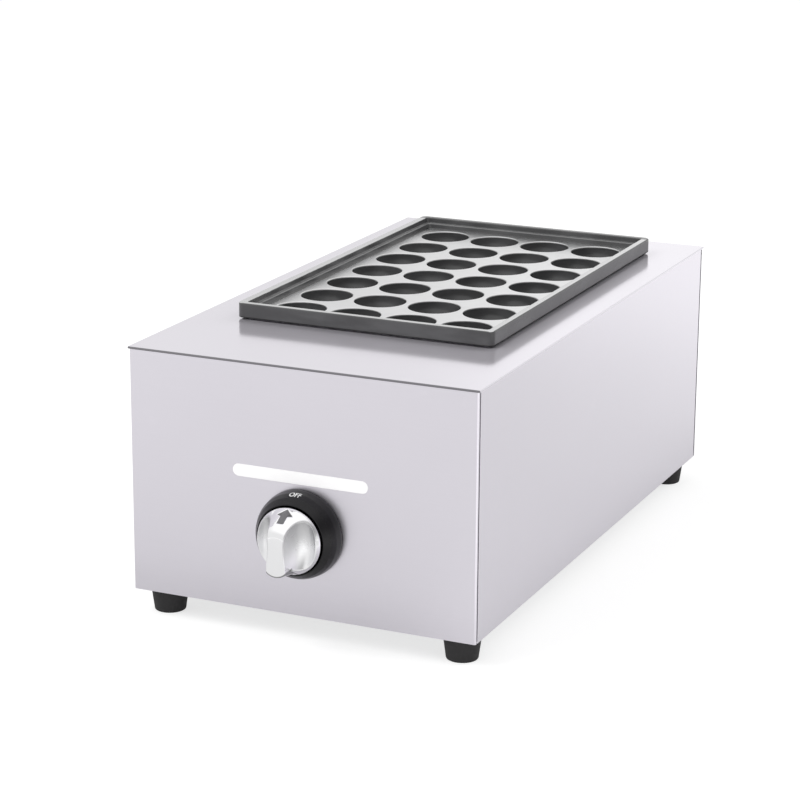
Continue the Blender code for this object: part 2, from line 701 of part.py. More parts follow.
def feet():
    """Four rubber feet, each held by a bolt from inside the pan."""
    top = CASING_BOTTOM - CLEARANCE
    bore = FOOT_BOLT_RADIUS + CLEARANCE
    for corner, place in foot_places().items():
        bm = bmesh.new()
        add_turned(bm, [
            (0, 0), (0, FOOT_BOTTOM_RADIUS - FOOT_EDGE), (FOOT_EDGE, FOOT_BOTTOM_RADIUS),
            (top - FOOT_EDGE, FOOT_TOP_RADIUS), (top, FOOT_TOP_RADIUS - FOOT_EDGE),
            (top, bore), (top - FOOT_BORE_DEPTH, bore), (top - FOOT_BORE_DEPTH, 0),
        ], place, (0, 0, 1), TUBE_STEPS)
        piece("foot_" + corner, bm, RUBBER)
        bm = bmesh.new()
        add_turned(bm, [
            (top - FOOT_BORE_DEPTH + CLEARANCE, 0), (top - FOOT_BORE_DEPTH + CLEARANCE, FOOT_BOLT_RADIUS),
            (SEAT, FOOT_BOLT_RADIUS), (SEAT, FOOT_BOLT_HEAD_RADIUS),
            (SEAT + FOOT_BOLT_HEAD, FOOT_BOLT_HEAD_RADIUS), (SEAT + FOOT_BOLT_HEAD, 0),
        ], place, (0, 0, 1), SMALL_STEPS)
        piece("foot_bolt_" + corner, bm, ZINC)


def panel_screws():
    """The two screws of the back panel."""
    for side, place in panel_screw_places().items():
        bm = bmesh.new()
        head = CLEARANCE + PANEL_SCREW_HEAD
        add_turned(bm, [
            (-PANEL_SCREW_LENGTH, 0), (-PANEL_SCREW_LENGTH, PANEL_SCREW_RADIUS),
            (CLEARANCE, PANEL_SCREW_RADIUS), (CLEARANCE, PANEL_SCREW_HEAD_RADIUS),
            (head, PANEL_SCREW_HEAD_RADIUS), (head, 0),
        ], place, steps=SMALL_STEPS)
        piece("back_screw_" + side, bm, ZINC)


def cup_rings(wall, top):
    """The (radius, height) steps of a cup below its mouth, inside for no wall and outside for its wall."""
    rings = [(CUP_RADIUS + wall, top)]
    for angle in CUP_RING_ANGLES:
        depth = CUP_STRAIGHT + (CUP_ROUND + wall) * sin(angle)
        height = DECK_TOP + FLOOR_RISE - depth
        if height < top - CLEARANCE:
            rings.append(((CUP_RADIUS + wall) * cos(angle), height))
    return rings


def add_cup(bm, x, y, wall, top):
    """One cup's wall and bottom. Returns the edges of its mouth."""
    before = None
    mouth = []
    for radius, z in cup_rings(wall, top):
        turn = [2 * pi * step / CUP_STEPS for step in range(CUP_STEPS)]
        row = [bm.verts.new((x + radius * cos(a), y + radius * sin(a), z)) for a in turn]
        for here in range(CUP_STEPS):
            there = (here + 1) % CUP_STEPS
            if before:
                bm.faces.new((before[here], before[there], row[there], row[here]))
            else:
                mouth.append(bm.edges.new((row[here], row[there])))
        before = row
    bm.faces.new(before)
    return mouth


def add_floor(bm, border, wall, z):
    """A flat face from the border to the mouths of all cups, and the cups below it."""
    edges = [bm.edges.get((here, there)) for here, there in zip(border, border[1:] + border[:1])]
    for column in range(CUP_COLUMNS):
        for row in range(CUP_ROWS):
            x = (column - (CUP_COLUMNS - 1) / 2) * CUP_PITCH_X
            y = PLATE_Y + (row - (CUP_ROWS - 1) / 2) * CUP_PITCH_Y
            edges += add_cup(bm, x, y, wall, z)
    bmesh.ops.triangle_fill(bm, use_beauty=True, edges=edges)


def baking_plate(pivot):
    """The cast plate: a rim that hangs over the deck's upstand, a stepped wall, a floor and its cups."""
    def ring(inset, rise, corner):
        half = FLOOR_HALF + Vector((inset, inset))
        return rounded_rectangle(half.x, half.y, max(corner, LIP_EDGE), DECK_TOP + rise, PLATE_Y)

    under = FLOOR_RISE - FLOOR_THICKNESS
    inner_corner = RIM_CORNER - LIP_WIDTH / 2
    bm = bmesh.new()
    rows = add_skin(bm, [
        ring(GROOVE_INSET, under, inner_corner),
        ring(GROOVE_INSET, GROOVE_RISE, inner_corner),
        ring(RIM_INSET - SKIRT_WALL, GROOVE_RISE, inner_corner),
        ring(RIM_INSET - SKIRT_WALL, SKIRT_RISE, inner_corner),
        ring(RIM_INSET, SKIRT_RISE, RIM_CORNER),
        ring(RIM_INSET, RIM_RISE - LIP_EDGE, RIM_CORNER),
        ring(RIM_INSET - LIP_EDGE, RIM_RISE, RIM_CORNER - LIP_EDGE),
        ring(LEDGE_INSET, RIM_RISE, inner_corner),
        ring(LEDGE_INSET - LIP_DRAFT, LEDGE_RISE, inner_corner),
        ring(LEDGE_DRAFT, LEDGE_RISE, inner_corner),
        ring(0, FLOOR_RISE, inner_corner),
    ])
    first, last = set(rows[0]), set(rows[-1])
    closing = [face for face in bm.faces if first & set(face.verts) and last & set(face.verts)]
    bmesh.ops.delete(bm, geom=closing, context="FACES_ONLY")
    add_floor(bm, rows[-1], 0, DECK_TOP + FLOOR_RISE)
    add_floor(bm, rows[0], CUP_WALL, DECK_TOP + under)
    piece("baking_plate", bm, COATED, pivot)


def sight_window():
    """The opal heat-proof window, whose raised middle fills the sight slot, and its two spring clips."""
    z = DECK_TOP - SLOT_DROP
    front = PANEL_BACK + CLEARANCE
    rear = front + WINDOW_THICKNESS
    half_x = SLOT_LENGTH / 2 + WINDOW_BORDER
    half_z = SLOT_HEIGHT / 2 + WINDOW_BORDER
    bm = bmesh.new()
    add_box(bm, (-half_x, front, z - half_z), (half_x, rear, z + half_z))
    window = piece("sight_window", bm, OPAL)
    middle = bmesh.new()
    outline = obround(0, z, SLOT_LENGTH - 2 * CLEARANCE, SLOT_HEIGHT - 2 * CLEARANCE)
    add_prism(middle, outline, PANEL_FRONT + WINDOW_RECESS, front + WINDOW_THICKNESS / 2, "y")
    join(window, middle)
    for name, side in (("window_clip_left", -1), ("window_clip_right", 1)):
        near = half_x + CLEARANCE
        shift = rear + CLEARANCE
        outline = [
            (near, front), (near + CLIP_FOOT, front), (near + CLIP_FOOT, front + CLIP_SHEET),
            (near + CLIP_SHEET, front + CLIP_SHEET), (near + CLIP_SHEET, shift + CLIP_SHEET),
            (near - CLIP_TONGUE, shift + CLIP_SHEET), (near - CLIP_TONGUE, shift), (near, shift),
        ]
        bm = bmesh.new()
        outline = [(side * x, y) for x, y in outline]
        add_prism(bm, outline, z - CLIP_HEIGHT / 2, z + CLIP_HEIGHT / 2)
        piece(name, bm, ZINC)


def bezel():
    """The black ring round the knob, located by two pins in the panel."""
    face = VALVE - Vector((0, PANEL_SHEET, 0))
    bore = KNOB_RADIUS + KNOB_PLAY
    floor = CLEARANCE + BEZEL_FLOOR
    profile = [(-CLEARANCE, SPINDLE_RADIUS + CLEARANCE), (-CLEARANCE, BEZEL_RADIUS)]
    for depth, radius in BEZEL_SHAPE_SHARES:
        profile.append((-CLEARANCE - depth * BEZEL_DEPTH, radius * BEZEL_RADIUS))
    profile += [(profile[-1][0], bore), (-floor, bore), (-floor, SPINDLE_RADIUS + CLEARANCE)]
    bm = bmesh.new()
    add_turned(bm, profile, face)
    ring = piece("knob_bezel", bm, BLACK)
    pins = bmesh.new()
    for side in (1, -1):
        centre = face + Vector((0, 0, side * BEZEL_PIN_OFFSET))
        add_rod(pins, -CLEARANCE - BEZEL_FLOOR / 2, BEZEL_PIN_LENGTH, BEZEL_PIN_RADIUS, centre)
    join(ring, pins)


def knob(pivot):
    """The chromed knob: a crown on a disc, scooped out on each side so that a bar is left."""
    face = VALVE - Vector((0, PANEL_SHEET, 0))
    bm = bmesh.new()
    bore = SPINDLE_RADIUS + CLEARANCE
    add_turned(bm, [
        (-KNOB_BACK, bore), (-KNOB_BACK, KNOB_RADIUS), (KNOB_EDGE - KNOB_FACE, KNOB_RADIUS),
        (-KNOB_FACE, KNOB_RADIUS - KNOB_EDGE), (-KNOB_SHOULDER, KNOB_SHOULDER_RADIUS),
        (-KNOB_REACH, KNOB_CROWN_RADIUS), (-KNOB_REACH, 0), (-KNOB_BACK - KNOB_BORE_DEPTH, 0),
        (-KNOB_BACK - KNOB_BORE_DEPTH, bore),
    ], face)
    disc = piece("knob", bm, CHROME, pivot)
    grip = bmesh.new()
    root = face.y - KNOB_FACE + KNOB_EDGE
    front = face.y - KNOB_REACH
    outline = [
        (root, face.z - GRIP_BOTTOM), (front, face.z - GRIP_FRONT_BOTTOM), (front, face.z), (root, face.z),
    ]
    add_prism(grip, outline, face.x - GRIP_WIDTH / 2, face.x + GRIP_WIDTH / 2, "x")
    join(disc, grip)
    scoops = bmesh.new()
    for side in (1, -1):
        place = face + Vector((side * SCOOP_OFFSET, -SCOOP_REACH, SCOOP_RISE))
        turn = Matrix.Translation(place) @ Matrix.Diagonal((*SCOOP_RADII, 1))
        bmesh.ops.create_uvsphere(
            scoops, u_segments=2 * SCOOP_RINGS, v_segments=SCOOP_RINGS, radius=1, matrix=turn
        )
    cut(disc, scoops)


def spindle(pivot):
    """The steel rod that the knob sits on, with a collar for the spring and a tang for the plug."""
    start = -PANEL_SHEET - KNOB_BACK - KNOB_BORE_DEPTH + CLEARANCE
    bm = bmesh.new()
    add_turned(bm, [
        (start, 0), (start, SPINDLE_RADIUS), (COLLAR_FRONT, SPINDLE_RADIUS),
        (COLLAR_FRONT, COLLAR_RADIUS), (COLLAR_BACK, COLLAR_RADIUS),
        (COLLAR_BACK, SPINDLE_RADIUS), (ROD_BACK, SPINDLE_RADIUS), (ROD_BACK, 0),
    ], VALVE, steps=SMALL_STEPS)
    rod = piece("spindle", bm, ZINC, pivot)
    tang = bmesh.new()
    half = Vector((TANG_WIDTH / 2, 0, TANG_THICKNESS / 2))
    add_box(
        tang,
        VALVE - half + Vector((0, ROD_BACK - COLLAR_THICKNESS, 0)),
        VALVE + half + Vector((0, TANG_BACK, 0)),
    )
    join(rod, tang)


def return_spring(pivot):
    """The coil spring between the spindle's collar and the plug."""
    start = COLLAR_BACK + CLEARANCE + SPRING_WIRE
    end = PLUG_FRONT - CLEARANCE - SPRING_WIRE
    steps = SPRING_TURNS * SPRING_TURN_STEPS
    points = []
    for step in range(steps + 1):
        angle = 2 * pi * step / SPRING_TURN_STEPS
        depth = start + (end - start) * step / steps
        turn = Vector((SPRING_RADIUS * cos(angle), depth, SPRING_RADIUS * sin(angle)))
        points.append(VALVE + turn)
    wire("return_spring", points, SPRING_WIRE, ZINC, pivot=pivot)


def valve_screw_places():
    return {
        "left": VALVE - Vector((VALVE_SCREW_OFFSET, 0, 0)),
        "right": VALVE + Vector((VALVE_SCREW_OFFSET, 0, 0)),
    }


def valve_mounting():
    """The bracket behind the panel, the bonnet and its two screws."""
    half = Vector((BRACKET_WIDTH / 2, 0, BRACKET_HEIGHT / 2))
    bm = bmesh.new()
    add_box(
        bm,
        VALVE - half + Vector((0, CLEARANCE, 0)),
        VALVE + half + Vector((0, BRACKET_BACK, 0)),
    )
    bracket = piece("valve_bracket", bm, ZINC)
    low, high = -OVERRUN, BRACKET_BACK + OVERRUN
    holes = bmesh.new()
    add_rod(holes, low, high, SPINDLE_RADIUS + CLEARANCE, VALVE)
    for place in valve_screw_places().values():
        add_rod(holes, low, high, VALVE_SCREW_RADIUS + CLEARANCE, place)
    cut(bracket, holes)

    bm = bmesh.new()
    flange_back = BONNET_FRONT + BONNET_FLANGE
    add_turned(bm, [
        (BONNET_FRONT, SPINDLE_RADIUS + CLEARANCE), (BONNET_FRONT, BONNET_RADIUS),
        (BONNET_BACK, BONNET_RADIUS), (BONNET_BACK, BONNET_BORE),
        (flange_back, BONNET_BORE), (flange_back, SPINDLE_RADIUS + CLEARANCE),
    ], VALVE, steps=TUBE_STEPS)
    bonnet = piece("valve_bonnet", bm, BRASS)
    ears = bmesh.new()
    outline = obround(VALVE.x, VALVE.z, BONNET_FLANGE_LENGTH, BONNET_FLANGE_HEIGHT)
    add_prism(ears, outline, PANEL_BACK + BONNET_FRONT, PANEL_BACK + flange_back, "y")
    join(bonnet, ears)
    holes = bmesh.new()
    add_rod(holes, 0, flange_back - PANEL_SHEET, SPINDLE_RADIUS + CLEARANCE, VALVE)
    start, end = flange_back - PANEL_SHEET, BONNET_BACK + OVERRUN
    add_rod(holes, start, end, BONNET_BORE, VALVE, steps=TUBE_STEPS)
    for place in valve_screw_places().values():
        add_rod(holes, 0, flange_back + OVERRUN, VALVE_SCREW_RADIUS + CLEARANCE, place)
    cut(bonnet, holes)

    for side, place in valve_screw_places().items():
        head = flange_back + CLEARANCE
        bm = bmesh.new()
        add_turned(bm, [
            (2 * CLEARANCE, 0), (2 * CLEARANCE, VALVE_SCREW_RADIUS), (head, VALVE_SCREW_RADIUS),
            (head, VALVE_SCREW_HEAD_RADIUS), (head + VALVE_SCREW_HEAD, VALVE_SCREW_HEAD_RADIUS),
            (head + VALVE_SCREW_HEAD, 0),
        ], place, steps=SMALL_STEPS)
        piece("valve_screw_" + side, bm, ZINC)


def valve_body():
    """The valve's casting, bored for the plug and the jet, with a side port for the gas pipe."""
    half = Vector((VALVE_BODY_WIDTH / 2, 0, VALVE_BODY_WIDTH / 2))
    bm = bmesh.new()
    add_box(
        bm,
        VALVE - half + Vector((0, VALVE_BODY_FRONT, 0)),
        VALVE + half + Vector((0, VALVE_BODY_BACK, 0)),
    )
    body = piece("valve_body", bm, CASTING)
    side_port = VALVE + Vector((0, PORT_DEPTH, 0))
    port_end = -VALVE_BODY_WIDTH / 2 - VALVE_INLET_LENGTH
    boss = bmesh.new()
    add_rod(boss, port_end, -PLUG_RADIUS - OVERRUN, VALVE_INLET_RADIUS, side_port, (1, 0, 0))
    join(body, boss)
    bores = bmesh.new()
    start, end = VALVE_BODY_FRONT - OVERRUN, PLUG_BACK + CLEARANCE
    add_rod(bores, start, end, PLUG_RADIUS + CLEARANCE, VALVE, steps=ROUND_STEPS)
    cut(body, bores)
    bores = bmesh.new()
    add_rod(bores, PLUG_BACK - OVERRUN, VALVE_BODY_BACK + OVERRUN, JET_SPIGOT_RADIUS + CLEARANCE, VALVE)
    cut(body, bores)
    bores = bmesh.new()
    add_rod(bores, port_end - OVERRUN, -PLUG_RADIUS + OVERRUN, VALVE_INLET_BORE, side_port, (1, 0, 0))
    cut(body, bores)


def valve_plug(pivot):
    """The plug that opens and shuts the gas, with a slot for the spindle's tang.

    Its port points up while it is off and meets the side port after a quarter turn. From there on, a
    milled groove lets ever less gas through.
    """
    bm = bmesh.new()
    add_rod(bm, PLUG_FRONT, PLUG_BACK, PLUG_RADIUS, VALVE, steps=ROUND_STEPS)
    plug = piece("valve_plug", bm, BRASS, pivot)
    slot = bmesh.new()
    slot_end = TANG_BACK + PUSH_TRAVEL + CLEARANCE
    half = Vector((PLUG_RADIUS + OVERRUN, 0, TANG_THICKNESS / 2 + CLEARANCE))
    add_box(
        slot,
        VALVE - half + Vector((0, PLUG_FRONT - OVERRUN, 0)),
        VALVE + half + Vector((0, slot_end, 0)),
    )
    cut(plug, slot)
    reach = PLUG_RADIUS + OVERRUN
    bore = bmesh.new()
    add_rod(bore, PORT_DEPTH, PLUG_BACK + OVERRUN, PLUG_PORT_RADIUS, VALVE)
    cut(plug, bore)
    centre = VALVE + Vector((0, PORT_DEPTH, 0))
    port = bmesh.new()
    add_rod(port, 0, reach, PLUG_PORT_RADIUS - CLEARANCE, centre, (0, 0, 1))
    cut(plug, port)
    groove = bmesh.new()
    low = Vector((PLUG_GROOVE_DISTANCE, -PLUG_GROOVE_WIDTH / 2, -reach))
    high = Vector((reach, PLUG_GROOVE_WIDTH / 2, reach))
    add_box(groove, low, high)
    turn = Matrix.Translation(centre) @ Matrix.Rotation(-pi / 4, 4, "Y")
    bmesh.ops.transform(groove, matrix=turn, verts=groove.verts)
    cut(plug, groove)


def gas_jet():
    """The brass jet that blows gas into the mixing tube."""
    hex_front = VALVE_BODY_BACK + CLEARANCE
    bm = bmesh.new()
    add_turned(bm, [
        (hex_front - JET_SPIGOT_LENGTH, JET_BORE), (hex_front - JET_SPIGOT_LENGTH, JET_SPIGOT_RADIUS),
        (hex_front, JET_SPIGOT_RADIUS), (hex_front, JET_HEX_RADIUS), (JET_HEX_BACK, JET_HEX_RADIUS),
        (JET_HEX_BACK, JET_NOSE_RADIUS), (JET_HEX_BACK + JET_NOSE_LENGTH, JET_TIP_RADIUS),
        (JET_HEX_BACK + JET_NOSE_LENGTH, JET_BORE),
    ], VALVE, steps=SMALL_STEPS)
    piece("gas_jet", bm, BRASS)


def air_holes(low, high):
    """The air holes round the jet, as one cutter."""
    bm = bmesh.new()
    for hole in range(AIR_HOLES):
        angle = 2 * pi * (hole + 1 / 2) / AIR_HOLES
        place = VALVE + AIR_HOLE_CIRCLE * Vector((cos(angle), 0, sin(angle)))
        add_rod(bm, low, high, AIR_HOLE_RADIUS, place, steps=AIR_HOLE_STEPS)
    return bm


def air_shutter(pivot):
    """The cap that turns on the mixing tube's mouth and covers its air holes."""
    inner = MIXER_MOUTH_RADIUS + SHUTTER_PLAY
    wall_back = SHUTTER_FRONT + SHUTTER_SHEET
    end = SHUTTER_FRONT + SHUTTER_LENGTH
    bm = bmesh.new()
    add_turned(bm, [
        (SHUTTER_FRONT, AIR_BORE), (SHUTTER_FRONT, inner + SHUTTER_SHEET), (end, inner + SHUTTER_SHEET),
        (end, inner), (wall_back, inner), (wall_back, AIR_BORE),
    ], VALVE, steps=TUBE_STEPS)
    shutter = piece("air_shutter", bm, ZINC, pivot)
    cut(shutter, air_holes(SHUTTER_FRONT - OVERRUN, wall_back + OVERRUN))


def mixing_tube():
    """The venturi tube, its elbow up to the manifold, and the manifold."""
    mouth_end = MIXER_FRONT + MIXER_MOUTH_LENGTH
    throat = mouth_end + MIXER_NARROWING
    throat_end = throat + MIXER_THROAT_LENGTH
    wide = throat_end + MIXER_WIDENING
    bm = bmesh.new()
    add_turned(bm, [
        (MIXER_FRONT, AIR_BORE), (MIXER_FRONT, MIXER_MOUTH_RADIUS), (mouth_end, MIXER_MOUTH_RADIUS),
        (throat, MIXER_THROAT_RADIUS), (throat_end, MIXER_THROAT_RADIUS), (wide, MIXER_TAIL_RADIUS),
        (MIXER_BACK, MIXER_TAIL_RADIUS), (MIXER_BACK, MIXER_TAIL_RADIUS - MIXER_WALL),
        (wide, MIXER_TAIL_RADIUS - MIXER_WALL), (throat_end, MIXER_THROAT_RADIUS - MIXER_WALL),
        (throat, MIXER_THROAT_RADIUS - MIXER_WALL), (mouth_end, MIXER_MOUTH_RADIUS - MIXER_WALL),
        (MIXER_FRONT + MIXER_WALL, MIXER_MOUTH_RADIUS - MIXER_WALL),
        (MIXER_FRONT + MIXER_WALL, AIR_BORE),
    ], VALVE, steps=TUBE_STEPS)
    tube = piece("mixing_tube", bm, IRON)
    cut(tube, air_holes(MIXER_FRONT - OVERRUN, MIXER_FRONT + MIXER_WALL + OVERRUN))

    centre = Vector((VALVE.x, PLATE_Y - ELBOW_RADIUS, ELBOW_TOP))

    def ring(radius, turn):
        angle = pi / 2 * turn / ELBOW_STEPS
        outward = Vector((0, sin(angle), -cos(angle)))
        return [
            centre + outward * (ELBOW_RADIUS + radius * cos(2 * pi * step / TUBE_STEPS))
            + Vector((radius * sin(2 * pi * step / TUBE_STEPS), 0, 0))
            for step in range(TUBE_STEPS)
        ]

    turns = list(range(ELBOW_STEPS + 1))
    bm = bmesh.new()
    add_skin(bm, [ring(MIXER_TAIL_RADIUS, turn) for turn in turns]
             + [ring(MIXER_TAIL_RADIUS - MIXER_WALL, turn) for turn in turns[::-1]])
    piece("mixing_elbow", bm, IRON)


def burner():
    """The manifold, three burner tubes with ports along the top, and two supports."""
    half = Vector((MANIFOLD_LENGTH / 2, MANIFOLD_WIDTH / 2, MANIFOLD_HEIGHT / 2))
    wall = Vector((MANIFOLD_WALL, MANIFOLD_WALL, MANIFOLD_WALL))
    middle = Vector((0, PLATE_Y, MANIFOLD_BOTTOM + MANIFOLD_HEIGHT / 2))
    bm = bmesh.new()
    add_box(bm, middle - half, middle + half)
    manifold = piece("burner_manifold", bm, IRON)
    hollow = bmesh.new()
    add_box(hollow, middle - half + wall, middle + half - wall)
    cut(manifold, hollow)
    holes = bmesh.new()
    feed = MIXER_TAIL_RADIUS - MIXER_WALL
    inlet = Vector((VALVE.x, PLATE_Y, 0))
    add_rod(holes, MANIFOLD_BOTTOM - OVERRUN, MANIFOLD_BOTTOM + 2 * MANIFOLD_WALL, feed, inlet, (0, 0, 1))
    for x in BURNER_TUBES.values():
        place = Vector((x, PLATE_Y, 0))
        start, end = MANIFOLD_TOP - 2 * MANIFOLD_WALL, MANIFOLD_TOP + OVERRUN
        add_rod(holes, start, end, BURNER_FEED_RADIUS, place, (0, 0, 1))
    cut(manifold, holes)

    reach = BURNER_TUBE_LENGTH / 2
    inner = BURNER_TUBE_RADIUS - BURNER_TUBE_WALL
    pitch = (BURNER_TUBE_LENGTH - 2 * BURNER_PORT_MARGIN) / (BURNER_PORTS - 1)
    for name, x in BURNER_TUBES.items():
        centre = Vector((x, PLATE_Y, BURNER_LEVEL))
        bm = bmesh.new()
        add_rod(bm, -reach, reach, BURNER_TUBE_RADIUS, centre, steps=TUBE_STEPS)
        tube = piece("burner_tube_" + name, bm, IRON)
        hollow = bmesh.new()
        add_rod(hollow, BURNER_TUBE_WALL - reach, reach - BURNER_TUBE_WALL, inner, centre)
        cut(tube, hollow)
        ports = bmesh.new()
        for port in range(BURNER_PORTS):
            y = PLATE_Y - reach + BURNER_PORT_MARGIN + port * pitch
            low = (x - BURNER_PORT_RISE, y - BURNER_PORT_WIDTH / 2, BURNER_LEVEL + BURNER_PORT_RISE)
            port_top = BURNER_LEVEL + BURNER_TUBE_RADIUS + OVERRUN
            high = (x + BURNER_PORT_RISE, y + BURNER_PORT_WIDTH / 2, port_top)
            add_box(ports, low, high)
        add_rod(ports, -BURNER_TUBE_RADIUS - OVERRUN, 0, BURNER_FEED_RADIUS, centre, (0, 0, 1))
        cut(tube, ports)

    for name, y, inward in (("front", SUPPORT_FRONT, 1), ("rear", PLATE_Y + SUPPORT_SPACING, -1)):
        bm = bmesh.new()
        near, far = sorted((y, y + inward * SUPPORT_SHEET))
        add_box(bm, (-SUPPORT_WIDTH / 2, near, SEAT), (SUPPORT_WIDTH / 2, far, BURNER_LEVEL))
        support = piece("burner_support_" + name, bm, PLATED)
        foot = bmesh.new()
        near, far = sorted((y + inward * SUPPORT_SHEET / 2, y + inward * SUPPORT_FOOT))
        add_box(foot, (-SUPPORT_WIDTH / 2, near, SEAT), (SUPPORT_WIDTH / 2, far, SEAT + SUPPORT_SHEET))
        join(support, foot)
        notches = bmesh.new()
        reach = SUPPORT_SHEET + OVERRUN
        for x in BURNER_TUBES.values():
            place = Vector((x, y, BURNER_LEVEL))
            add_rod(notches, -reach, reach, BURNER_TUBE_RADIUS + CLEARANCE, place, steps=TUBE_STEPS)
        if name == "front":
            place = Vector((VALVE.x, y, VALVE.z))
            add_rod(notches, -reach, reach, MIXER_TAIL_RADIUS + CLEARANCE, place, steps=TUBE_STEPS)
        cut(support, notches)


def heat_shields():
    """Four sheets round the burner: two under the side flanges and two across, standing on the pan."""
    top = PANEL_TOP - PANEL_SHEET - CLEARANCE
    gap = SHIELD_SHEET + CLEARANCE
    for name, side in (("heat_shield_left", -1), ("heat_shield_right", 1)):
        far = INNER_HALF_WIDTH - SHIELD_SHEET
        outline = [
            (SHIELD_X, SHIELD_BOTTOM), (SHIELD_X + SHIELD_SHEET, SHIELD_BOTTOM),
            (SHIELD_X + SHIELD_SHEET, top - SHIELD_SHEET), (far, top - SHIELD_SHEET), (far, top),
            (SHIELD_X, top),
        ]
        bm = bmesh.new()
        outline = [(side * x, z) for x, z in outline]
        add_prism(bm, outline, SHIELD_FRONT + gap, SHIELD_REAR - gap, "y")
        piece(name, bm, PLATED)

    half = SHIELD_X - CLEARANCE
    height = DECK_TOP - DECK_SHEET - SHIELD_HEADROOM
    for name, y, outward in (("heat_shield_front", SHIELD_FRONT, -1), ("heat_shield_rear", SHIELD_REAR, 1)):
        near, far = sorted((y, y - outward * SHIELD_SHEET))
        bm = bmesh.new()
        add_box(bm, (-half, near, SEAT), (half, far, height))
        shield = piece(name, bm, PLATED)
        foot = bmesh.new()
        middle = y - outward * SHIELD_SHEET / 2
        add_box(foot, (-half, middle - SHIELD_FOOT, SEAT), (half, middle, SEAT + SHIELD_SHEET))
        join(shield, foot)
        holes = bmesh.new()
        span = SHIELD_SHEET + OVERRUN
        add_rod(holes, -span, span, PIPE_RADIUS + OVERRUN, Vector((-PIPE_OFFSET, y, PIPE_LEVEL)))
        if name == "heat_shield_front":
            place = Vector((VALVE.x, y, VALVE.z))
            add_rod(holes, -span, span, SHIELD_TUBE_HOLE, place, steps=TUBE_STEPS)
            for side in (1, -1):
                place = Vector((side * PROBE_OFFSET, y, LEAD_LEVEL))
                add_rod(holes, -span, span, LEAD_HOLE_RADIUS, place)
        cut(shield, holes)


def probe_bracket(name, x):
    """An angle on the front support that holds a probe upright beside the burner."""
    face = SUPPORT_FRONT - CLEARANCE
    top = BURNER_LEVEL - PROBE_TAB_DROP
    bm = bmesh.new()
    outline = [
        (face, top), (face - 2 * PROBE_STAND_OFF, top), (face - 2 * PROBE_STAND_OFF, top - PROBE_TAB_SHEET),
        (face - PROBE_TAB_SHEET, top - PROBE_TAB_SHEET), (face - PROBE_TAB_SHEET, top - PROBE_TAB_HEIGHT),
        (face, top - PROBE_TAB_HEIGHT),
    ]
    add_prism(bm, outline, x - PROBE_TAB_WIDTH / 2, x + PROBE_TAB_WIDTH / 2, "x")
    bracket = piece(name, bm, ZINC)
    hole = bmesh.new()
    place = Vector((x, face - PROBE_STAND_OFF, top))
    add_rod(hole, -OVERRUN, OVERRUN, INSULATOR_RADIUS + CLEARANCE, place, (0, 0, 1))
    cut(bracket, hole)
    return place + Vector((0, 0, CLEARANCE))


def ignition():
    """The spark electrode in its insulator, the push igniter under the valve and the lead between them."""
    seat = probe_bracket("electrode_bracket", PROBE_OFFSET)
    bore = ELECTRODE_RADIUS + CLEARANCE
    bm = bmesh.new()
    add_turned(bm, [
        (-INSULATOR_BELOW, bore), (-INSULATOR_BELOW, INSULATOR_RADIUS), (0, INSULATOR_RADIUS),
        (0, INSULATOR_COLLAR_RADIUS), (INSULATOR_COLLAR, INSULATOR_COLLAR_RADIUS),
        (INSULATOR_COLLAR, INSULATOR_RADIUS), (INSULATOR_ABOVE, INSULATOR_RADIUS), (INSULATOR_ABOVE, bore),
    ], seat, (0, 0, 1), SMALL_STEPS)
    piece("electrode_insulator", bm, CERAMIC)
    tail = seat.z - INSULATOR_BELOW - ELECTRODE_TAIL
    tip = BURNER_LEVEL + BURNER_TUBE_RADIUS + SPARK_GAP
    route = rounded_route([
        (seat.x, seat.y, tail), (seat.x, seat.y, tip), (BURNER_TUBE_RADIUS, seat.y, tip),
    ], ELECTRODE_TAIL)
    wire("spark_electrode", route, ELECTRODE_RADIUS, ZINC)

    low = VALVE.z - VALVE_BODY_WIDTH / 2 - CLEARANCE - IGNITER_RADIUS
    centre = Vector((VALVE.x + IGNITER_OFFSET, PANEL_BACK + VALVE_BODY_FRONT, low))
    bm = bmesh.new()
    add_rod(bm, 0, IGNITER_LENGTH, IGNITER_RADIUS, centre)
    piece("piezo_igniter", bm, BLACK)
    start = centre + Vector((0, IGNITER_LENGTH + CLEARANCE, 0))
    wire("ignition_lead", rounded_route([
        start,
        start + Vector((0, IGNITER_RADIUS, 0)),
        (seat.x, SHIELD_FRONT - IGNITER_RADIUS, LEAD_LEVEL),
        (seat.x, SHIELD_FRONT + IGNITER_RADIUS, LEAD_LEVEL),
        (seat.x, seat.y, LEAD_LEVEL),
        (seat.x, seat.y, tail - CLEARANCE),
    ]), LEAD_RADIUS, LEAD)


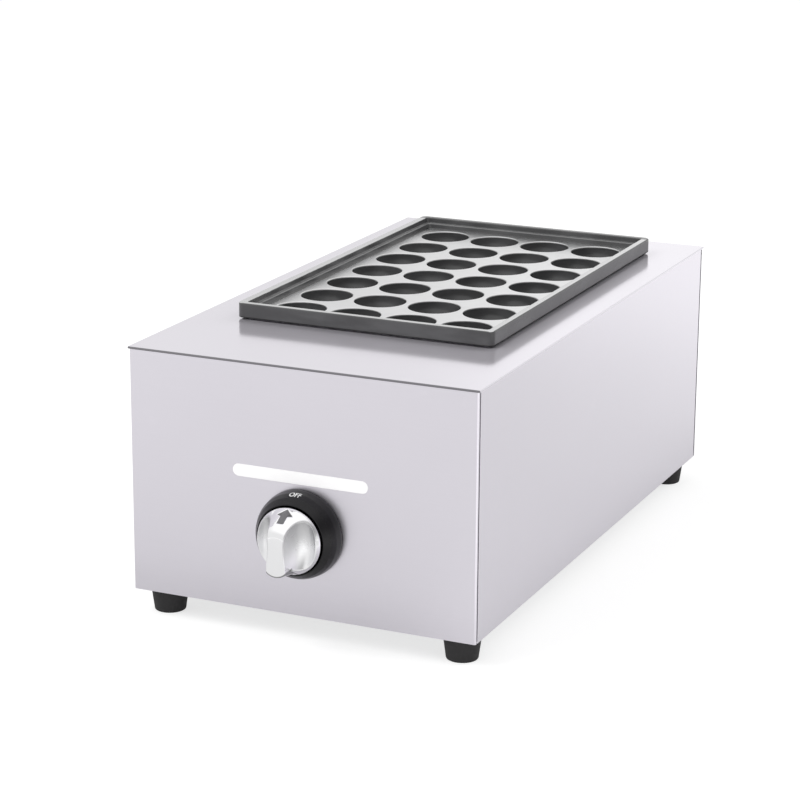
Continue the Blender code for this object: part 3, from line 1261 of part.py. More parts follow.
def flame_probe():
    """The thermocouple that holds the gas valve open while the burner is lit, and its lead."""
    seat = probe_bracket("thermocouple_bracket", -PROBE_OFFSET)
    bm = bmesh.new()
    end = BURNER_LEVEL + BURNER_TUBE_RADIUS - seat.z
    add_turned(bm, [
        (-INSULATOR_COLLAR, 0), (-INSULATOR_COLLAR, INSULATOR_RADIUS), (0, INSULATOR_RADIUS),
        (0, THERMO_COLLAR_RADIUS), (INSULATOR_COLLAR, THERMO_COLLAR_RADIUS),
        (INSULATOR_COLLAR, THERMO_RADIUS), (end, THERMO_RADIUS), (end, 0),
    ], seat, (0, 0, 1), SMALL_STEPS)
    piece("thermocouple", bm, ZINC)
    port = VALVE + Vector((-PORT_LEAD_OFFSET, PORT_DEPTH, -VALVE_BODY_WIDTH / 2 - CLEARANCE))
    wire("thermocouple_lead", rounded_route([
        port,
        (port.x, port.y, LEAD_LEVEL),
        (seat.x, SHIELD_FRONT - IGNITER_RADIUS, LEAD_LEVEL),
        (seat.x, SHIELD_FRONT + IGNITER_RADIUS, LEAD_LEVEL),
        (seat.x, seat.y, LEAD_LEVEL),
        (seat.x, seat.y, seat.z - INSULATOR_COLLAR - CLEARANCE),
    ]), LEAD_RADIUS, COPPER)


def hex_nut(name, ends, radius, bore, centre, along):
    """A nut with some play round what goes through it."""
    bm = bmesh.new()
    add_rod(bm, *ends, radius, centre, along, HEX_STEPS)
    nut = piece(name, bm, BRASS)
    hole = bmesh.new()
    add_rod(hole, ends[0] - OVERRUN, ends[1] + OVERRUN, bore + 2 * CLEARANCE, centre, along)
    cut(nut, hole)


def gas_supply():
    """The threaded inlet through the back panel, its nut, the pipe to the valve, its nut and its clip."""
    place = inlet_place()
    end = DECK_OVERHANG + INLET_REACH
    bm = bmesh.new()
    add_turned(bm, [
        (-INLET_TAIL, INLET_BORE), (-INLET_TAIL, INLET_RADIUS), (CLEARANCE, INLET_RADIUS),
        (CLEARANCE, INLET_FLANGE_RADIUS), (INLET_FLANGE, INLET_FLANGE_RADIUS),
        (INLET_FLANGE, INLET_RADIUS), (end, INLET_RADIUS), (end, INLET_BORE),
    ], place, steps=SMALL_STEPS)
    piece("gas_inlet", bm, BRASS)
    front = -PANEL_SHEET - CLEARANCE
    hex_nut("inlet_nut", (front - INLET_NUT, front), INLET_FLANGE_RADIUS, INLET_RADIUS, place, (0, 1, 0))

    port_x = VALVE.x - VALVE_BODY_WIDTH / 2 - VALVE_INLET_LENGTH - CLEARANCE
    wire("gas_pipe", rounded_route([
        (-PIPE_OFFSET, PANEL_REAR - INLET_TAIL - CLEARANCE, PIPE_LEVEL),
        (-PIPE_OFFSET, PIPE_Y, PIPE_LEVEL),
        (-PIPE_OFFSET, PIPE_Y, VALVE.z),
        (port_x, PIPE_Y, VALVE.z),
    ]), PIPE_RADIUS, COPPER, 2)
    port = Vector((port_x, PIPE_Y, VALVE.z))
    hex_nut("pipe_nut", (-PIPE_NUT_LENGTH, 0), PIPE_NUT_RADIUS, PIPE_RADIUS, port, (1, 0, 0))

    low, high = PLATE_Y - PIPE_CLIP_DEPTH / 2, PLATE_Y + PIPE_CLIP_DEPTH / 2
    centre = Vector((-PIPE_OFFSET, PLATE_Y, PIPE_LEVEL))
    bm = bmesh.new()
    add_box(
        bm,
        (-PIPE_OFFSET - PIPE_CLIP_BASE / 2, low, SEAT),
        (-PIPE_OFFSET + PIPE_CLIP_BASE / 2, high, SEAT + PIPE_CLIP_WALL),
    )
    clip = piece("pipe_clip", bm, ZINC)
    stem = bmesh.new()
    add_box(
        stem,
        (-PIPE_OFFSET - PIPE_CLIP_WALL / 2, low, SEAT + PIPE_CLIP_WALL / 2),
        (-PIPE_OFFSET + PIPE_CLIP_WALL / 2, high, PIPE_LEVEL - PIPE_RADIUS),
    )
    join(clip, stem)
    ring = bmesh.new()
    outer = PIPE_RADIUS + CLEARANCE + PIPE_CLIP_WALL
    add_rod(ring, -PIPE_CLIP_DEPTH / 2, PIPE_CLIP_DEPTH / 2, outer, centre)
    join(clip, ring)
    bore = bmesh.new()
    reach = PIPE_CLIP_DEPTH / 2 + OVERRUN
    add_rod(bore, -reach, reach, PIPE_RADIUS + 2 * CLEARANCE, centre)
    cut(clip, bore)


plate_axis = pivot_at("plate_lift_axis", Vector((0, PLATE_Y, DECK_TOP)))
plug_axis = pivot_at("plug_axis", VALVE.copy())
knob_axis = pivot_at("knob_axis", VALVE.copy())
shutter_axis = pivot_at("shutter_axis", VALVE + Vector((0, SHUTTER_FRONT, 0)))

deck()
front_panel()
back_panel()
side_panels()
bottom_pan()
feet()
panel_screws()
baking_plate(plate_axis)
sight_window()
bezel()
knob(knob_axis)
spindle(knob_axis)
return_spring(knob_axis)
valve_mounting()
valve_body()
valve_plug(plug_axis)
gas_jet()
air_shutter(shutter_axis)
mixing_tube()
burner()
heat_shields()
ignition()
flame_probe()
gas_supply()
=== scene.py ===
"""The looks of a countertop fish ball grill, laid out as an add-on and run as a script.

Lengths are metres. The knob side faces -Y, +Z is up and the origin is on the table.
"""
from math import cos, pi, radians, sin, tan

import bmesh
import bpy
from bpy.props import FloatProperty, FloatVectorProperty, IntProperty, PointerProperty, StringProperty
from mathutils import Matrix, Vector


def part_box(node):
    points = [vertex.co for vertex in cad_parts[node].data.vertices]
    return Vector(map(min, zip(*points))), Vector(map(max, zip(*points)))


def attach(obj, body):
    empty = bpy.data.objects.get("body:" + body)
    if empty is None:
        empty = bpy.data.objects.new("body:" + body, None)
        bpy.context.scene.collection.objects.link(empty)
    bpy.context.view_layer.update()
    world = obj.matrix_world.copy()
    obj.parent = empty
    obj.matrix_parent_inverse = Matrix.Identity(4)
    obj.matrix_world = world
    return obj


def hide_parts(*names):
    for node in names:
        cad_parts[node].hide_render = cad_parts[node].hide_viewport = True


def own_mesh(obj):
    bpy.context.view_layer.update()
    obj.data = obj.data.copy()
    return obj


bl_info = {
    "name": "Fish Ball Grill",
    "version": (1, 0, 0),
    "blender": (4, 5, 0),
    "location": "View3D > Sidebar > Grill",
    "description": "Dresses the packed fish ball grill for its picture",
    "category": "Object",
}

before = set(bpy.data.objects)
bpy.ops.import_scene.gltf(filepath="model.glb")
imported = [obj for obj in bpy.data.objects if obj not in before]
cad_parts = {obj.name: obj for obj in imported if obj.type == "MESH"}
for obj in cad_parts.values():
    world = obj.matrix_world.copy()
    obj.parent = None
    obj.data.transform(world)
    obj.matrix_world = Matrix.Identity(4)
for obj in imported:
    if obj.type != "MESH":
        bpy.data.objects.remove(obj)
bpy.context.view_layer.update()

# Fits and edges
CLEARANCE = 0.0003
OVERRUN = 0.002
WELD = 0.000002
SHARP = radians(38)
FINE_STEPS = 96
ROUND_STEPS = 48

# Casing
DECK_LOW, DECK_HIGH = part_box("deck")
DECK_CORNER = 0.0012
# Depth of the painted shade on the deck's front edge
DECK_EDGE_SHADE = (0.0004, 0.0006)
FRONT, BACK = DECK_LOW.y, DECK_HIGH.y
MIDDLE = (FRONT + BACK) / 2
HALF_DECK = Vector(((DECK_HIGH.x - DECK_LOW.x) / 2, (BACK - FRONT) / 2))
DECK_SHEET = 0.0015
DECK_UNDER = DECK_LOW.z
DECK_TOP = DECK_UNDER + DECK_SHEET
PANEL_SHEET = 0.0012
PANEL_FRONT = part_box("front_panel")[0].y
PANEL_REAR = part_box("back_panel")[1].y
PANEL_BACK = PANEL_FRONT + PANEL_SHEET
PANEL_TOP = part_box("front_panel")[1].z
HALF_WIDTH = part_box("front_panel")[1].x
CASING_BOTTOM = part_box("front_panel")[0].z
INNER_HALF_WIDTH = HALF_WIDTH - PANEL_SHEET - CLEARANCE
FOLD_RADIUS = 0.0015
FOLD_RETURN = 0.00155
FOLD_GAP = 0.0019
FOLD_STEPS = 8
LAP_DEPTH = 0.017
FLANGE_WIDTH = 0.014
FLANGE_NOTCH = 0.018
FLANGE_SPACING = 0.004
SEAT = CASING_BOTTOM + PANEL_SHEET + CLEARANCE
PAN_RISE = 0.0155

# Slots, vents and screws
SLOT_LEVEL = DECK_TOP - 0.077
SLOT_LENGTH = 0.101
SLOT_HEIGHT = 0.009
WINDOW_THICKNESS = 0.002
WINDOW_BORDER = 0.005
WINDOW_RECESS = 0.00005
WINDOW_GAP = 0.00005
WINDOW_EDGE = 0.0001
VENT_GRID = (7, 2)
VENT_PITCH = (0.022, 0.042)
VENT_SIZE = (0.030, 0.005)
VENT_LEVEL = DECK_TOP - 0.040
AIR_SLOT_GRID = (3, 4)
AIR_SLOT_PITCH = (0.062, 0.040)
AIR_SLOT_SIZE = (0.046, 0.010)
FOOT_PLACE = Vector((0.1115, 0.2145))
FOOT_BOLT_BORE = 0.0027
FOOT_BORE_DEPTH = 0.012
FOOT_WALL = ((0.0012, 0, 0), (0.0012, 0.006, 0.0004), (0, 0.0066, 0.0004), (0, 0.011, 0.0012),
             (0.0150, 0.01305, 0.0010), (0.0156, 0.01325, 0.0003))
CORNERS = ("front_left", "front_right", "rear_left", "rear_right")
SCREW_HEAD = 0.0025
BACK_SCREW_SIZE = (0.004, 0.002, 0.0103)
VALVE_SCREW_SIZE = (0.0035, 0.0018)
FOOT_BOLT_SIZE = (0.0045, 0.0024)
BACK_SCREW = Vector((0.100, PANEL_REAR, CASING_BOTTOM + 0.0085))
PANEL_SCREW_BORE = 0.0023

# Cup plate, with heights above the deck
PLATE_LOW, PLATE_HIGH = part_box("baking_plate")
PLATE_Y = (PLATE_LOW.y + PLATE_HIGH.y) / 2
RIM_INSET = 0.009
FLOOR_HALF = Vector((PLATE_HIGH.x - RIM_INSET, (PLATE_HIGH.y - PLATE_LOW.y) / 2 - RIM_INSET))
FLOOR_RISE = 0.0041
FLOOR_THICKNESS = 0.004
CUP_WALL = 0.0016
CUP_STRAIGHT = 0.003
CUP_ROUND = 0.0165
CUP_BOTTOM_ANGLE = 70
CUP_STEPS = 64
GROOVE_INSET = 0.0017
GROOVE_RISE = 0.005
UPSTAND_INSET = 0.0026
UPSTAND_SHEET = 0.0012
UPSTAND_CORNER = 0.001
RUN_UP = 0.02
SKIRT_INSET = 0.006
SKIRT_RISE = 0.0013
RIM_RISE = 0.012
LEDGE_RISE = 0.008
LEDGE_INSET = 0.0035
RUBBED_RIM = 0.78
# Bare share of the far rim, kept near nought as painted shade
SHADED_FAR_RIM = 0.01
RUBBED_LEDGE = 0.22
# Band of painted shade along the skirt's foot
FOOT_SHADE_LINE = (0.0008, 0.0016)
INNER_CORNER = 0.00225
OUTER_CORNER = 0.005
CORNER_STEPS = 8

# Knob and bezel, with reaches in front of the panel
KNOB_PLACE = Vector((0.001, PANEL_FRONT, DECK_TOP - 0.1155))
OUTWARD = Vector((0, -1, 0))
BEZEL_RADIUS = 0.0309
BEZEL_DEPTH = 0.0165
BEZEL_WALL = ((0.12, 1.0), (0.45, 0.975), (0.72, 0.915), (0.93, 0.835), (1.0, 0.81))
BEZEL_FLOOR = 0.0028
KNOB_RADIUS = 0.0237
KNOB_BORE = 0.0044
KNOB_BACK = 0.008
KNOB_FACE = 0.019
KNOB_SHOULDER = (0.0292, 0.0184)
KNOB_CROWN = (0.039, 0.0125)
KNOB_BORE_DEPTH = 0.0085
GRIP_WIDTH = 0.014
GRIP_BOTTOM = 0.0232
GRIP_FRONT_BOTTOM = 0.0192
GRIP_END = 0.0105
GRIP_ROOT = KNOB_FACE - 0.0012
KNOB_SLACK = 0.00025
SCOOP_PLACE = (0.0157, 0.038, 0.001)
SCOOP_RADII = (0.0097, 0.0195, 0.027)
ARROW = ((0, 0.0006), (0.0064, 0.0039), (0.0026, 0.0039), (0.0026, 0.0072),
         (-0.0026, 0.0072), (-0.0026, 0.0039), (-0.0064, 0.0039))
ARROW_DEPTH = 0.0009
ARROW_FILL = 0.0004
SPRING_LOW, SPRING_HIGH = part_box("return_spring")
SPRING_WIRE = 0.0005
SPRING_TURNS = 4.0
SPRING_SIDES = 8
SCOOP_EDGE = (1.02, 1.10)
# Painted reflection in the upper scoops, and painted shade on the bar's lower flanks and round its tip
SCOOP_SHADE_LEVELS = (-0.008, 0.010)
FLANK_SHADE_BAND = (0.0005, 0.0004)
FLANK_SHADE_LEVELS = (-0.018, -0.013)
FLANK_SHADE_REACH = (KNOB_CROWN[0] - 0.0025, KNOB_CROWN[0] - 0.0015)
TIP_SHADE_EDGE = (GRIP_END - 0.0012, GRIP_END - 0.0005)
TIP_SHADE_LEVELS = (-0.014, -0.012)
TIP_SHADE_REACH = (0.030, 0.032)
WORD_REACH = 0.0088
WORD_NARROW = 0.87
WORD_LIFT = 0.00006
WORD_WEIGHT = 0.0001
CAPITAL_SHARE = 0.70

# Gas inlet, with distances behind the back panel
INLET_PLACE = Vector((-0.090, PANEL_REAR, 0.045))
INLET_TAIL = 0.022
INLET_RADIUS = 0.0065
INLET_BORE = 0.0032
INLET_FLANGE = (0.008, 0.011)
INLET_REACH = 0.029
INLET_RIDGE = 0.0006
INLET_TURNS = 11.0
INLET_THREAD = (0.003, 0.0165)
RIDGE_SUNK = 0.00005

# The floor, and how bright it and the sky show in metal
FLOOR_SIZE = 12
FLOOR_NEAR = 0.74
FLOOR_FAR = 1.46
FLOOR_FALL = 0.02
FLOOR_BEHIND = 0.60
# Painted pools of light at the right corner and right side, and a painted shadow strip in front, all
# seen in metal
FLOOR_CORNER_LIGHT = 0.90
FLOOR_RIGHT_LIGHT = 0.22
FLOOR_CONTACT_SHADOW = 0.22
FLOOR_SEEN = 1.36
SKY_ROUND = 0.87
SKY_ABOVE = 0.24
SKY_FALL = 0.03
SKY_RIGHT = 0.48
SKY_BEHIND = 0.26

# The photograph's view
VIEW_PLACE = Vector((0.7310, -1.7037, 0.6437))
VIEW_AHEAD = Vector((-0.39153147, 0.87783027, -0.27589331))
VIEW_ROLL = radians(0.369)
VIEW_LENS = 116.05


def metres(name, description, default, precision=4):
    """A length that a user may change."""
    return FloatProperty(
        name=name, description=description, default=default, unit="LENGTH", precision=precision)


def tint(name, description, default):
    """A colour that a user may change."""
    return FloatVectorProperty(name=name, description=description, default=default, subtype="COLOR")


class PlateSettings(bpy.types.PropertyGroup):
    """The cast plate and its cups."""
    columns: IntProperty(name="Columns", description="Cups across the plate", default=4, min=1)
    rows: IntProperty(name="Rows", description="Cups along the plate", default=7, min=1)
    cup_radius: metres("Cup radius", "Inner radius of a cup", 0.019)
    pitch_x: metres("Pitch across", "Distance between columns", 0.0427)
    pitch_y: metres("Pitch along", "Distance between rows", 0.0439)
    mouth_round: metres("Mouth rounding", "Radius of a cup's upper edge", 0.0007)
    coating: tint("Coating", "Colour of the baked coating", (0.072, 0.072, 0.074))
    bare: tint("Bare metal", "Colour of the machined faces", (0.74, 0.74, 0.745))


class CasingSettings(bpy.types.PropertyGroup):
    """The sheet metal casing and its feet."""
    edge: metres("Edge rounding", "Radius of the sheets' edges", 0.0002, 5)
    steel: tint("Stainless steel", "Colour of the panels", (0.79, 0.764, 0.822))
    window: tint("Window", "Colour of the opal glass", (0.985, 0.98, 0.985))
    rubber: tint("Feet", "Colour of the rubber", (0.022, 0.021, 0.022))


class ControlSettings(bpy.types.PropertyGroup):
    """The knob and the ring round it."""
    chrome: tint("Chrome", "Colour of the plated knob", (0.93, 0.93, 0.94))
    bezel: tint("Bezel", "Colour of the glossy ring", (0.006, 0.0055, 0.0068))
    word: StringProperty(name="Word", description="Lettering at the top of the ring", default="OFF")
    word_height: metres("Word height", "Height of its capitals", 0.0040)
    grain: metres("Knob mesh", "Size of the faces of the knob", 0.00032, 5)
    # The arrow's grey fill is painted reflection, standing in for the dark reflections in its facets
    arrow: tint("Arrow", "Colour of the enamel in the arrow", (0.16, 0.158, 0.165))


class StudioSettings(bpy.types.PropertyGroup):
    """The floor, the lamps and the sky."""
    floor: tint("Floor", "Colour of the floor", (0.90, 0.90, 0.90))
    floor_share: FloatProperty(
        name="Plain floor", description="Share of the floor that shows without shadow", default=0.5,
        subtype="FACTOR")
    sky: FloatProperty(
        name="Sky", description="Strength of the even light from all round", default=0.64, min=0)
    key: FloatProperty(
        name="Key lamp", description="Power of the lamp at the upper left", default=38, unit="POWER")


class GrillSettings(bpy.types.PropertyGroup):
    """All that a user may change."""
    plate: PointerProperty(type=PlateSettings)
    casing: PointerProperty(type=CasingSettings)
    controls: PointerProperty(type=ControlSettings)
    studio: PointerProperty(type=StudioSettings)


class Value:
    """A socket whose sums and products add Math nodes."""

    def __init__(self, tree, socket):
        self.tree = tree
        self.socket = socket

    def _maths(self, operation, *numbers):
        return self.tree.node("ShaderNodeMath", dict(enumerate(numbers)), operation=operation)

    def __add__(self, other):
        return self._maths("ADD", self, other)

    def __sub__(self, other):
        return self._maths("SUBTRACT", self, other)

    def __rsub__(self, other):
        return self._maths("SUBTRACT", other, self)

    def __mul__(self, other):
        return self._maths("MULTIPLY", self, other)

    __radd__ = __add__
    __rmul__ = __mul__

    def output(self, name):
        """Another output of the same node."""
        return Value(self.tree, self.socket.node.outputs[name])

    def within(self, low, high):
        """0 below low, 1 above high, and a soft step between them."""
        inputs = {"Value": self, "From Min": low, "From Max": high}
        return self.tree.node("ShaderNodeMapRange", inputs, interpolation_type="SMOOTHSTEP")

    def size(self):
        """The value without its sign."""
        return self._maths("ABSOLUTE", self)

    def near(self, level, reach, blur):
        """1 where the value is within reach of a level."""
        return 1 - (self - level).size().within(reach, reach + blur)


class NodeTree:
    """A node tree that is written one node at a time."""

    def __init__(self, tree):
        self.tree = tree

    def feed(self, socket, value):
        """Links a value to a socket, or sets it."""
        if isinstance(value, Value):
            self.tree.links.new(value.socket, socket)
        else:
            socket.default_value = value

    def node(self, kind, inputs=None, output=0, **settings):
        """One output of a new node, whose settings are made before its sockets are filled."""
        made = self.tree.nodes.new(kind)
        for name, setting in settings.items():
            setattr(made, name, setting)
        for name, value in (inputs or {}).items():
            self.feed(made.inputs[name], value)
        return Value(self, made.outputs[output])

    def end(self, kind, value):
        """The output node, fed with a value."""
        self.feed(self.tree.nodes.new(kind).inputs[0], value)


def blank(owner):
    """The emptied node tree of a new material or world."""
    owner.use_nodes = True
    owner.node_tree.nodes.clear()
    return NodeTree(owner.node_tree)


class Finish(NodeTree):
    """A material with one Principled shader, whose patterns lie in the object's own space."""

    def __init__(self, name, **constants):
        self.material = bpy.data.materials.new(name)
        self.material.use_nodes = True
        super().__init__(self.material.node_tree)
        self.shader = self.tree.nodes["Principled BSDF"]
        for socket, value in constants.items():
            self.set(socket.replace("_", " "), value)
        self.place = self.node("ShaderNodeTexCoord").output("Object")

    def set(self, socket, value):
        self.feed(self.shader.inputs[socket], value)

    def look(self, colour, roughness, height, strength, depth):
        """Sets what varies over the surface, the last three for its bumps, and returns the material."""
        bump = {"Height": height, "Strength": strength, "Distance": depth}
        self.set("Base Color", colour)
        self.set("Roughness", roughness)
        self.set("Normal", self.node("ShaderNodeBump", bump))
        return self.material

    def noise(self, scale, detail=2.0, stretch=None, roughness=0.5):
        """Soft noise between 0 and 1, with a scale in features a metre."""
        place = self.place
        if stretch:
            place = self.node("ShaderNodeMapping", {"Vector": place, "Scale": stretch})
        inputs = {"Vector": place, "Scale": scale, "Detail": detail, "Roughness": roughness}
        return self.node("ShaderNodeTexNoise", inputs)

    def cells(self, scale, output="Distance"):
        return self.node("ShaderNodeTexVoronoi", {"Vector": self.place, "Scale": scale}).output(output)

    def axis(self, name):
        return self.node("ShaderNodeSeparateXYZ", {0: self.place}).output(name)

    def length(self, *parts):
        """The length of a vector that is given by its parts."""
        joined = self.node("ShaderNodeCombineXYZ", dict(enumerate(parts)))
        return self.node("ShaderNodeVectorMath", {0: joined}, operation="LENGTH").output("Value")

    def blend(self, share, first, second):
        """The first colour where share is 0 and the second where it is 1."""
        first, second = ((*c, 1) if isinstance(c, tuple) else c for c in (first, second))
        return self.node("ShaderNodeMix", {0: share, 6: first, 7: second}, 2, data_type="RGBA")


def shade(colour, amount):
    """A colour made lighter or darker, as a plain tuple."""
    return tuple(min(part * amount, 1.0) for part in colour)


def inside_casing(finish):
    """1 on the faces that look into the casing, where shade is painted."""
    across, along = finish.axis("X").size(), (finish.axis("Y") - (PANEL_FRONT + PANEL_REAR) / 2).size()
    half_depth = (PANEL_REAR - PANEL_FRONT) / 2 - PANEL_SHEET
    return (1 - across.within(INNER_HALF_WIDTH, INNER_HALF_WIDTH + CLEARANCE)) * (
        1 - along.within(half_depth, half_depth + CLEARANCE))


def deck_front(finish):
    """1 on the front edge of the deck, where shade is painted along its joint with the front panel."""
    return 1 - finish.axis("Y").within(*(FRONT + depth for depth in DECK_EDGE_SHADE))


def steel_finish(name, colour, stretch, roughness=0.25, metallic=1.0, edge=inside_casing):
    """Satin stainless sheet: faint brush lines one way, a cloudy sheen, and painted shade, darker and
    rougher, where the edge mask is 1.
    """
    steel = Finish(name, Metallic=metallic)
    cloud = steel.noise(7, 3)
    lines = steel.noise(1, 3, stretch, 0.6)
    marks = steel.noise(45, 4).within(0.62, 0.80)
    share = 0.55 * cloud + 0.25 * lines + 0.2 * marks
    # Painted shade: the faces inside the casing, seen in the seams, and the deck's front edge are
    # darkened.
    painted_shade = edge(steel)
    bright = steel.blend(share, shade(colour, 0.955), shade(colour, 1.035))
    return steel.look(
        steel.blend(painted_shade, bright, shade(colour, 0.27)),
        roughness + 0.05 * cloud + 0.05 * lines + 0.02 * marks + 0.2 * painted_shade,
        lines + 3.0 * steel.noise(5, 1), 0.12, 0.00012)


def coated_finish(name, coating, bare):
    """Dark baked coating with the machined floor left bare and the rim and ledge rubbed, the far rim
    kept coated as painted shade, and painted shade along the skirt's foot.
    """
    cast = Finish(name, IOR=1.6)
    level = cast.axis("Z") - DECK_TOP
    along = cast.axis("Y") - PLATE_Y
    worn = level + 0.0005 * cast.noise(160, 4)

    def inside(inset, blur):
        """1 within the floor's outline, moved out by the inset."""
        low_x, low_y = FLOOR_HALF.x + inset, FLOOR_HALF.y + inset
        across = cast.axis("X").size()
        return (1 - across.within(low_x, low_x + blur)) * (1 - along.size().within(low_y, low_y + blur))

    floor = level.near(FLOOR_RISE - 0.0003, 0.00055, 0.0003) * inside(-0.0012, 0.0006)
    # Painted shade: the far rim keeps almost no bare metal, so it reads dark
    far_rim_shade = (RUBBED_RIM - SHADED_FAR_RIM) * along.within(FLOOR_HALF.y, FLOOR_HALF.y + 0.002)
    rubbed = worn.within(RIM_RISE - 0.0003, RIM_RISE) * (RUBBED_RIM - far_rim_shade)
    rim = rubbed * inside(RIM_INSET - 0.0010, 0.0006)
    ledge = RUBBED_LEDGE * worn.near(LEDGE_RISE, 0.0002, 0.0003) * inside(LEDGE_INSET - 0.0006, 0.0005)
    # Painted shade: the skirt's foot, where it meets the deck, is darkened and dulled
    foot = (1 - worn.within(*(SKIRT_RISE + line for line in FOOT_SHADE_LINE))) * (
        1 - inside(SKIRT_INSET - 0.0010, 0.0005))
    share = floor + rim + ledge
    cloud = cast.noise(28, 4, (1, 1, 3))
    dark = cast.blend(cloud.within(0.35, 0.75), shade(coating, 0.78), shade(coating, 1.25))
    light = cast.blend(cast.noise(60, 5), shade(bare, 0.96), shade(bare, 1.05))
    cast.set("Metallic", share)
    return cast.look(
        cast.blend(share, cast.blend(foot, dark, shade(coating, 0.2)), light),
        0.15 + 0.12 * cloud + 0.10 * share + 0.55 * foot,
        cast.noise(2600, 2) + 2.0 * cast.noise(420, 3), 0.25, 0.00006)


def chrome_finish(name, colour):
    """Polished plate with the faintest haze, rougher in the scoops, with a painted reflection darkening
    their upper parts and painted shade under the bar.
    """
    chrome = Finish(name, Metallic=1.0)
    haze = chrome.noise(120, 4)
    marks = chrome.noise(420, 3).within(0.60, 0.85)
    across = (chrome.axis("X") - KNOB_PLACE.x).size()
    reach, up = KNOB_PLACE.y - chrome.axis("Y"), chrome.axis("Z") - KNOB_PLACE.z
    aside, above = across - SCOOP_PLACE[0], up - SCOOP_PLACE[2]
    parts = zip((aside, reach - SCOOP_PLACE[1], above), SCOOP_RADII)
    scoop = 1 - chrome.length(*[part * (1 / radius) for part, radius in parts]).within(*SCOOP_EDGE)
    # Painted reflection: the upper part of each scoop is darkened
    scoop_shade = scoop * (above - 0.5 * aside).within(*SCOOP_SHADE_LEVELS)
    # Painted shade: the bar's lower flanks and the edge of its tip are darkened
    flank_shade = across.near(GRIP_WIDTH / 2, *FLANK_SHADE_BAND) * (1 - up.within(*FLANK_SHADE_LEVELS)) * (
        1 - reach.within(*FLANK_SHADE_REACH))
    turn = chrome.length(across, up + GRIP_FRONT_BOTTOM - GRIP_END, 0.0)
    tip_shade = turn.within(*TIP_SHADE_EDGE) * (1 - up.within(*TIP_SHADE_LEVELS)) * reach.within(*TIP_SHADE_REACH)
    shaded_plate = chrome.blend(scoop_shade, chrome.blend(haze, shade(colour, 0.98), colour), shade(colour, 0.66))
    return chrome.look(
        chrome.blend(flank_shade + tip_shade, shaded_plate, shade(colour, 0.3)),
        0.055 + 0.05 * haze + 0.05 * marks + 0.20 * scoop, chrome.noise(60, 1), 0.10, 0.0002)


def even_finish(name, colour, tones, cloud, gloss, grain, bump, patches=None, **constants):
    """A grained surface whose gloss drifts with one soft cloud, and its tone with it or its patches."""
    made = Finish(name, **constants)
    drift = made.noise(*cloud)
    share = drift.within(*patches) if patches else drift
    tone = made.blend(share, shade(colour, tones[0]), shade(colour, tones[1]))
    return made.look(tone, gloss[0] + gloss[1] * drift, made.noise(*grain), *bump)


def plastic_finish(name, colour, roughness=0.20):
    """Glossy phenolic moulding with a trace of orange peel."""
    return even_finish(
        name, colour, (0.8, 1.25), (90, 3), (roughness, 0.10), (900, 2), (0.15, 0.00004), IOR=1.38)


def rubber_finish(name, colour):
    """Matt moulded rubber with a fine grain and a little dust."""
    return even_finish(
        name, colour, (1, 1.9), (140, 5), (0.62, 0.2), (2200, 3), (0.35, 0.00008), (0.5, 0.9))


def opal_finish(name, colour):
    """White opal glass, a little glossier where it is clean, with a faint painted glow."""
    return even_finish(
        name, colour, (0.985, 1), (70, 3), (0.12, 0.10), (30, 1), (0.05, 0.0002),
        IOR=1.5, Emission_Color=(*colour, 1), Emission_Strength=0.10)


def metal_finish(name, colour, roughness, spread=0.12, grain=900, depth=0.00004, metallic=1.0):
    """Small machined, plated or glazed parts: tone and gloss vary a little, with a fine grain."""
    tones = (1 - spread, 1 + spread)
    return even_finish(
        name, colour, tones, (130, 4), (roughness, 0.14), (grain, 3), (0.4, depth), Metallic=metallic)


def spangle_finish(name, colour):
    """Galvanised sheet: flat crystals of differing brightness, with their edges just felt."""
    zinc = Finish(name, Metallic=1.0)
    crystal = zinc.node("ShaderNodeSeparateColor", {0: zinc.cells(240, "Color")})
    cloud = zinc.noise(20, 3)
    tone = zinc.blend(0.75 * crystal + 0.25 * cloud, shade(colour, 0.78), shade(colour, 1.14))
    return zinc.look(tone, 0.34 + 0.14 * crystal + 0.06 * cloud, zinc.cells(240), 0.15, 0.00008)


def iron_finish(name, colour):
    """Cast iron that heat has darkened, with a sandy skin and a touch of rust."""
    iron = Finish(name, Metallic=0.6)
    cloud = iron.noise(45, 5)
    rust = iron.noise(110, 6).within(0.60, 0.78)
    tone = iron.blend(cloud, shade(colour, 0.7), shade(colour, 1.4))
    return iron.look(
        iron.blend(0.55 * rust, tone, (0.20, 0.085, 0.04)), 0.62 + 0.2 * cloud,
        iron.noise(900, 5) + 0.6 * iron.noise(260, 3), 0.7, 0.0002)


SMALL_PARTS = {
    "brass": ("brass_machined", (0.70, 0.52, 0.24), 0.24, 0.10),
    "cast_aluminium": ("cast_aluminium_blasted", (0.58, 0.58, 0.60), 0.42, 0.10, 1800, 0.0001),
    "copper": ("copper_drawn", (0.70, 0.36, 0.23), 0.24, 0.16),
    "white_ceramic": ("white_ceramic_glazed", (0.84, 0.83, 0.79), 0.18, 0.03, 300, 0.00005, 0.0),
    "red_silicone": ("red_silicone_sleeve", (0.42, 0.045, 0.035), 0.45, 0.12, 1500, 0.00004, 0.0),
    "zinc_plated_steel": ("zinc_plate_bright", (0.66, 0.67, 0.69), 0.26, 0.08),
}


